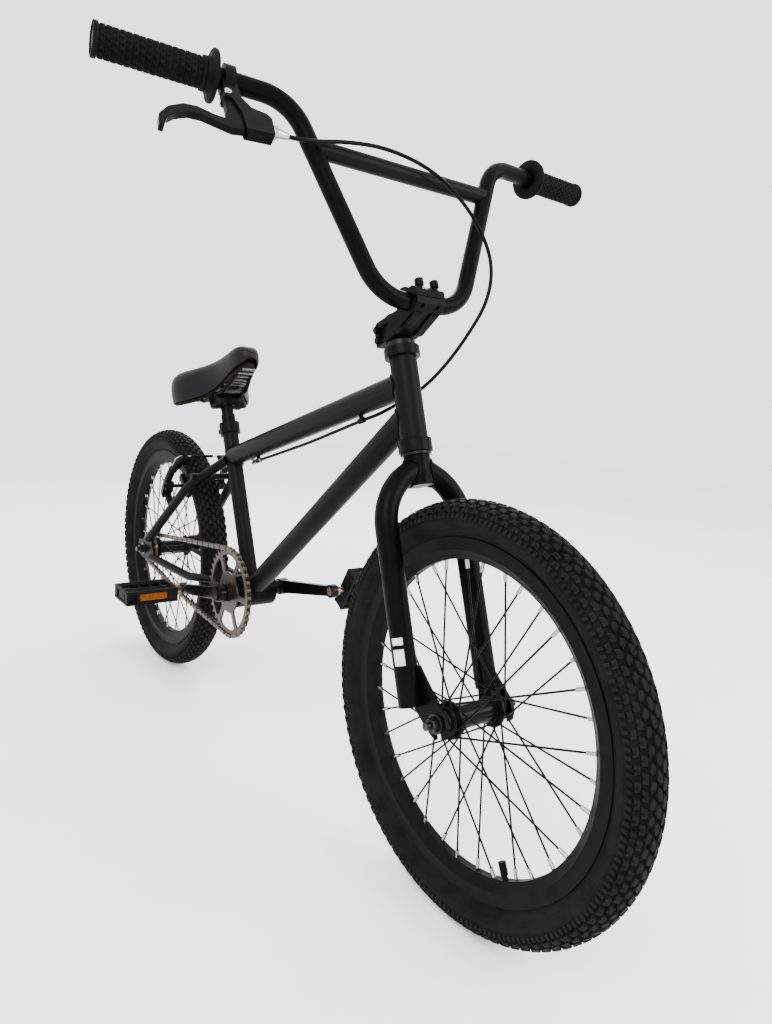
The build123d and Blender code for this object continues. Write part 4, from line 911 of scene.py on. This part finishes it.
# ---------------------------------------------------------------- welds
# Outside radii of the tubes that meet, and heights up the steering axis, in millimetres.
MAIN_R, SEAT_R, HEAD_R, SHELL_R, LEG_R, CROWN_R = 17.5, 14.3, 18, 28.5, 14.5, 17
HEAD_LOW, HEAD_HIGH, TOP_JOINT, DOWN_JOINT, CROWN_LOW, CROWN_TOP = 343, 452, 417.5, 377, 283, 303
SEAT_ANGLE, SHOULDER_ANGLE = math.radians(67.35), math.radians(30)
WELD_PROUD, WELD_R, CROWN_WELD_R = 0.6, 1.9, 1.8
WELD_SIDES, WELD_STEPS = 10, 120


def weld_line(start, end, radius, point, direction, wall):
    """Where a round tube from start to end meets a cylinder's wall, in millimetres."""
    start, end, point = Vector(start), Vector(end), Vector(point)
    axis = (end - start).normalized()
    direction = Vector(direction).normalized()
    u = axis.orthogonal().normalized()
    v = axis.cross(u)
    line = []
    for k in range(WELD_STEPS):
        a = 2 * math.pi * k / WELD_STEPS
        base = start + (u * math.cos(a) + v * math.sin(a)) * (radius + WELD_PROUD)
        offset = base - point
        p = offset - direction * offset.dot(direction)
        q = axis - direction * axis.dot(direction)
        b, c = p.dot(q), p.dot(p) - (wall + WELD_PROUD) ** 2
        root = b * b - q.dot(q) * c
        if root < 0:
            continue
        t = (-b - math.sqrt(root)) / q.dot(q)
        line.append(base + axis * t)
    return line


def ripple(form, line, size=WELD_R):
    """A rippled bead along a closed line."""
    radii = [size * (1 + 0.14 * math.cos(i * math.pi * 0.9)) for i in range(len(line))]
    form.tube(line, radii, WELD_SIDES, closed=True)


def steer_mm(forward, side, up):
    """World position, in millimetres, of a point in the steering frame."""
    return (STEER @ (Vector((forward, side, up)) * MM)) / MM


def welds():
    head_low, head_high = steer_mm(0, 0, HEAD_LOW), steer_mm(0, 0, HEAD_HIGH)
    head_axis = head_high - head_low
    bb = BB / MM
    seat_axis = Vector((-math.cos(SEAT_ANGLE), 0, math.sin(SEAT_ANGLE)))
    form = Builder()
    top_start, top_end = bb + seat_axis * 248, steer_mm(0, 0, TOP_JOINT)
    down_end = steer_mm(0, 0, DOWN_JOINT)
    across = (0, 1, 0)
    for start, end, radius, point, direction, wall in (
            (top_start, top_end, MAIN_R, head_low, head_axis, HEAD_R),
            (bb, down_end, MAIN_R, head_low, head_axis, HEAD_R),
            (top_end, top_start, MAIN_R, bb, seat_axis, SEAT_R),
            (down_end, bb, MAIN_R, bb, across, SHELL_R),
            (bb + seat_axis * 200, bb, SEAT_R, bb, across, SHELL_R)):
        ripple(form, weld_line(start, end, radius, point, direction, wall))
    form.make("frame_welds", "frame_paint", "frame")
    crown = Builder()
    crown_low = steer_mm(0, 0, CROWN_LOW)
    for side in (1, -1):
        start = steer_mm(0, side * 40, CROWN_TOP - 28 * math.tan(SHOULDER_ANGLE))
        end = steer_mm(0, side * 12, CROWN_TOP)
        ripple(crown, weld_line(start, end, LEG_R, crown_low, head_axis, CROWN_R), CROWN_WELD_R)
    crown.make("crown_welds", "fork_paint", "fork")


welds()


# ---------------------------------------------------------------- small trim
LEG_OFFSET = 62
MARK_BANDS = ((93, 101.5), (69, 88))
MARK_INNER_R, MARK_OUTER_R = 14.5, 14.72
MARK_START, MARK_SWEEP, MARK_COLUMNS = 34, 54, 9
STEM_RIB = [(17.5, 478), (56.5, 491.4), (58.4, 489.6), (55.5, 486.8), (21.5, 475.2), (18.5, 475.6)]
RIB_PLACES, RIB_HALF_WIDTH = (-13.2, 13.2), 6.6
# (radius, distance out from the flange)
DUST_CAP = [(8.2, 0), (16.6, 0), (17.6, 0.8), (17.0, 1.6), (15.4, 1.9), (15.4, 2.6), (16.2, 3.1),
            (15.2, 3.8), (13.6, 4.1), (8.2, 4.1)]
FERRULE_ENDS, FERRULE_R = [(-76, 0, 496.7), (-97, 1.0, 491.2)], 3.2


def leg_marks():
    """Two plain white rectangles low on the outside of the right fork leg."""
    form = Builder()
    for low, high in MARK_BANDS:
        verts, faces = [], []
        for i in range(MARK_COLUMNS):
            angle = MARK_START + i * MARK_SWEEP / (MARK_COLUMNS - 1)
            for s in (low, high):
                for radius in (MARK_INNER_R, MARK_OUTER_R):
                    x, y = polar(radius, angle)
                    verts.append(steer_mm(x, -LEG_OFFSET - y, s))
        for i in range(MARK_COLUMNS - 1):
            b = i * 4
            faces += [(b + 1, b + 5, b + 7, b + 3), (b, b + 2, b + 6, b + 4),
                      (b, b + 4, b + 5, b + 1), (b + 2, b + 3, b + 7, b + 6)]
        end = MARK_COLUMNS * 4
        faces += [(0, 1, 3, 2), (end - 4, end - 2, end - 1, end - 3)]
        form.add(verts, faces)
    form.make("leg_marks", WHITE_FILM, "fork", slot="fork_paint")


leg_marks()


def stem_ribs():
    """Two long raised bars on the stem's sloping front, with a deep channel between them."""
    form = Builder()
    for y in RIB_PLACES:
        form.plate(STEM_RIB, y - RIB_HALF_WIDTH, y + RIB_HALF_WIDTH)
    obj = form.make("stem_ribs", "stem", "fork", matrix=STEER, smooth=False)
    soften(obj, 0.9, 2, 40, weld=False)


stem_ribs()


def hub_trim():
    """Ridged dust caps outside the hubs' flanges; the rear hub's right side has the freewheel."""
    for name, centre, body, places in (
            ("front_dust_caps", FRONT_AXLE, "front_wheel", (36.5, -36.5)),
            ("rear_dust_caps", REAR_AXLE, "rear_wheel", (39.5,))):
        form = Builder()
        for y in places:
            sign = 1 if y > 0 else -1
            form.turned([(r, y + sign * out) for r, out in DUST_CAP], sides=72)
        form.make(name, "hub", body, matrix=Matrix.Translation(centre))


hub_trim()


def ferrule():
    """The bright sleeve on the cable behind the last clip."""
    form = Builder()
    form.tube(FERRULE_ENDS, FERRULE_R, 20)
    form.make("cable_ferrule", "bright_steel", "frame")


ferrule()


# ---------------------------------------------------------------- finishes of the CAD parts
# Bevel widths in millimetres.
SOFT_EDGES = {
    "stem_body": 1.0, "stem_cap": 1.0, "crank_arms": 1.6, "lever_bracket": 1.6, "brake_lever": 2.2,
    "left_brake_arm": 1.0, "right_brake_arm": 1.0, "fork_dropouts": 0.8, "rear_dropouts": 0.8,
    "seat_clamp": 0.8,
    "saddle_clamp": 0.8, "headset_cups": 0.8, "headset_bearings": 0.4, "front_axle_nuts": 0.5,
    "rear_axle_nuts": 0.5, "bb_shell": 0.6, "saddle_base": 0.8, "front_hub": 0.5, "rear_hub": 0.5,
    "freewheel": 0.3, "chainring": 0.3, "lever_screws": 0.4, "pedal_spindles": 0.5,
    "crank_spindle": 0.5,
    "front_axle": 0.5, "rear_axle": 0.5, "fork_steerer": 0.8}
EDGE_ANGLE, LEVER_EDGE_ANGLE = 32, 10
OTHER_FINISH = {"crank_spindle": FINISH["black_steel"], "headset_bearings": DARK_STEEL}
for node_name, node_object in NODES.items():
    node_object.data.materials.clear()
    node_object.data.materials.append(OTHER_FINISH.get(node_name, FINISH[SLOT_OF[node_name]]))
    if node_name in SOFT_EDGES:
        angle = LEVER_EDGE_ANGLE if "lever" in node_name else EDGE_ANGLE
        soften(node_object, SOFT_EDGES[node_name], 3, angle)


def fatten(name, amount):
    """Skin a little thicker, for the coats of paint and plating on thin parts."""
    swell = NODES[name].modifiers.new("coating", "DISPLACE")
    swell.strength = amount * MM
    swell.mid_level = 0


for thin_node, thickness in (("front_spokes", 0.22), ("rear_spokes", 0.18),
                             ("front_nipples", 0.25), ("rear_nipples", 0.25),
                             ("stem_bolts", 0.9)):
    fatten(thin_node, thickness)


# ---------------------------------------------------------------- studio
FLOOR_HALF = 6
WORLD_STRENGTH = 2.4
# Name, place, what it points at, size, power.
LAMPS = (("key", (1.6, -1.9, 2.6), (0.1, 0, 0.4), 1.8, 120),
         ("side", (2.4, 1.6, 1.7), (0.2, 0, 0.5), 1.5, 70),
         ("back", (-2.0, 1.4, 2.2), (0, 0, 0.5), 1.6, 60))


def studio():
    """A paper floor, an even white sky and three soft lamps."""
    floor = bpy.data.meshes.new("floor")
    corners = ((-1, -1), (1, -1), (1, 1), (-1, 1))
    floor.from_pydata([(x * FLOOR_HALF, y * FLOOR_HALF, 0) for x, y in corners], [],
                      [(0, 1, 2, 3)])
    ground = bpy.data.objects.new("floor", floor)
    bpy.context.scene.collection.objects.link(ground)
    paper = material("paper", (0.95, 0.95, 0.95), 0.75, spread=0.02, scale=3, grain=200, bump=0.05)
    floor.materials.append(paper)
    world = bpy.data.worlds.new("studio")
    world.use_nodes = True
    background = world.node_tree.nodes["Background"]
    background.inputs["Color"].default_value = (1, 1, 1, 1)
    background.inputs["Strength"].default_value = WORLD_STRENGTH
    bpy.context.scene.world = world
    for name, place, aim, size, power in LAMPS:
        data = bpy.data.lights.new(name, "AREA")
        data.size = size
        data.energy = power
        lamp = bpy.data.objects.new(name, data)
        bpy.context.scene.collection.objects.link(lamp)
        direction = Vector(aim) - Vector(place)
        turn = direction.to_track_quat("-Z", "Y").to_matrix().to_4x4()
        lamp.matrix_world = Matrix.Translation(place) @ turn


studio()
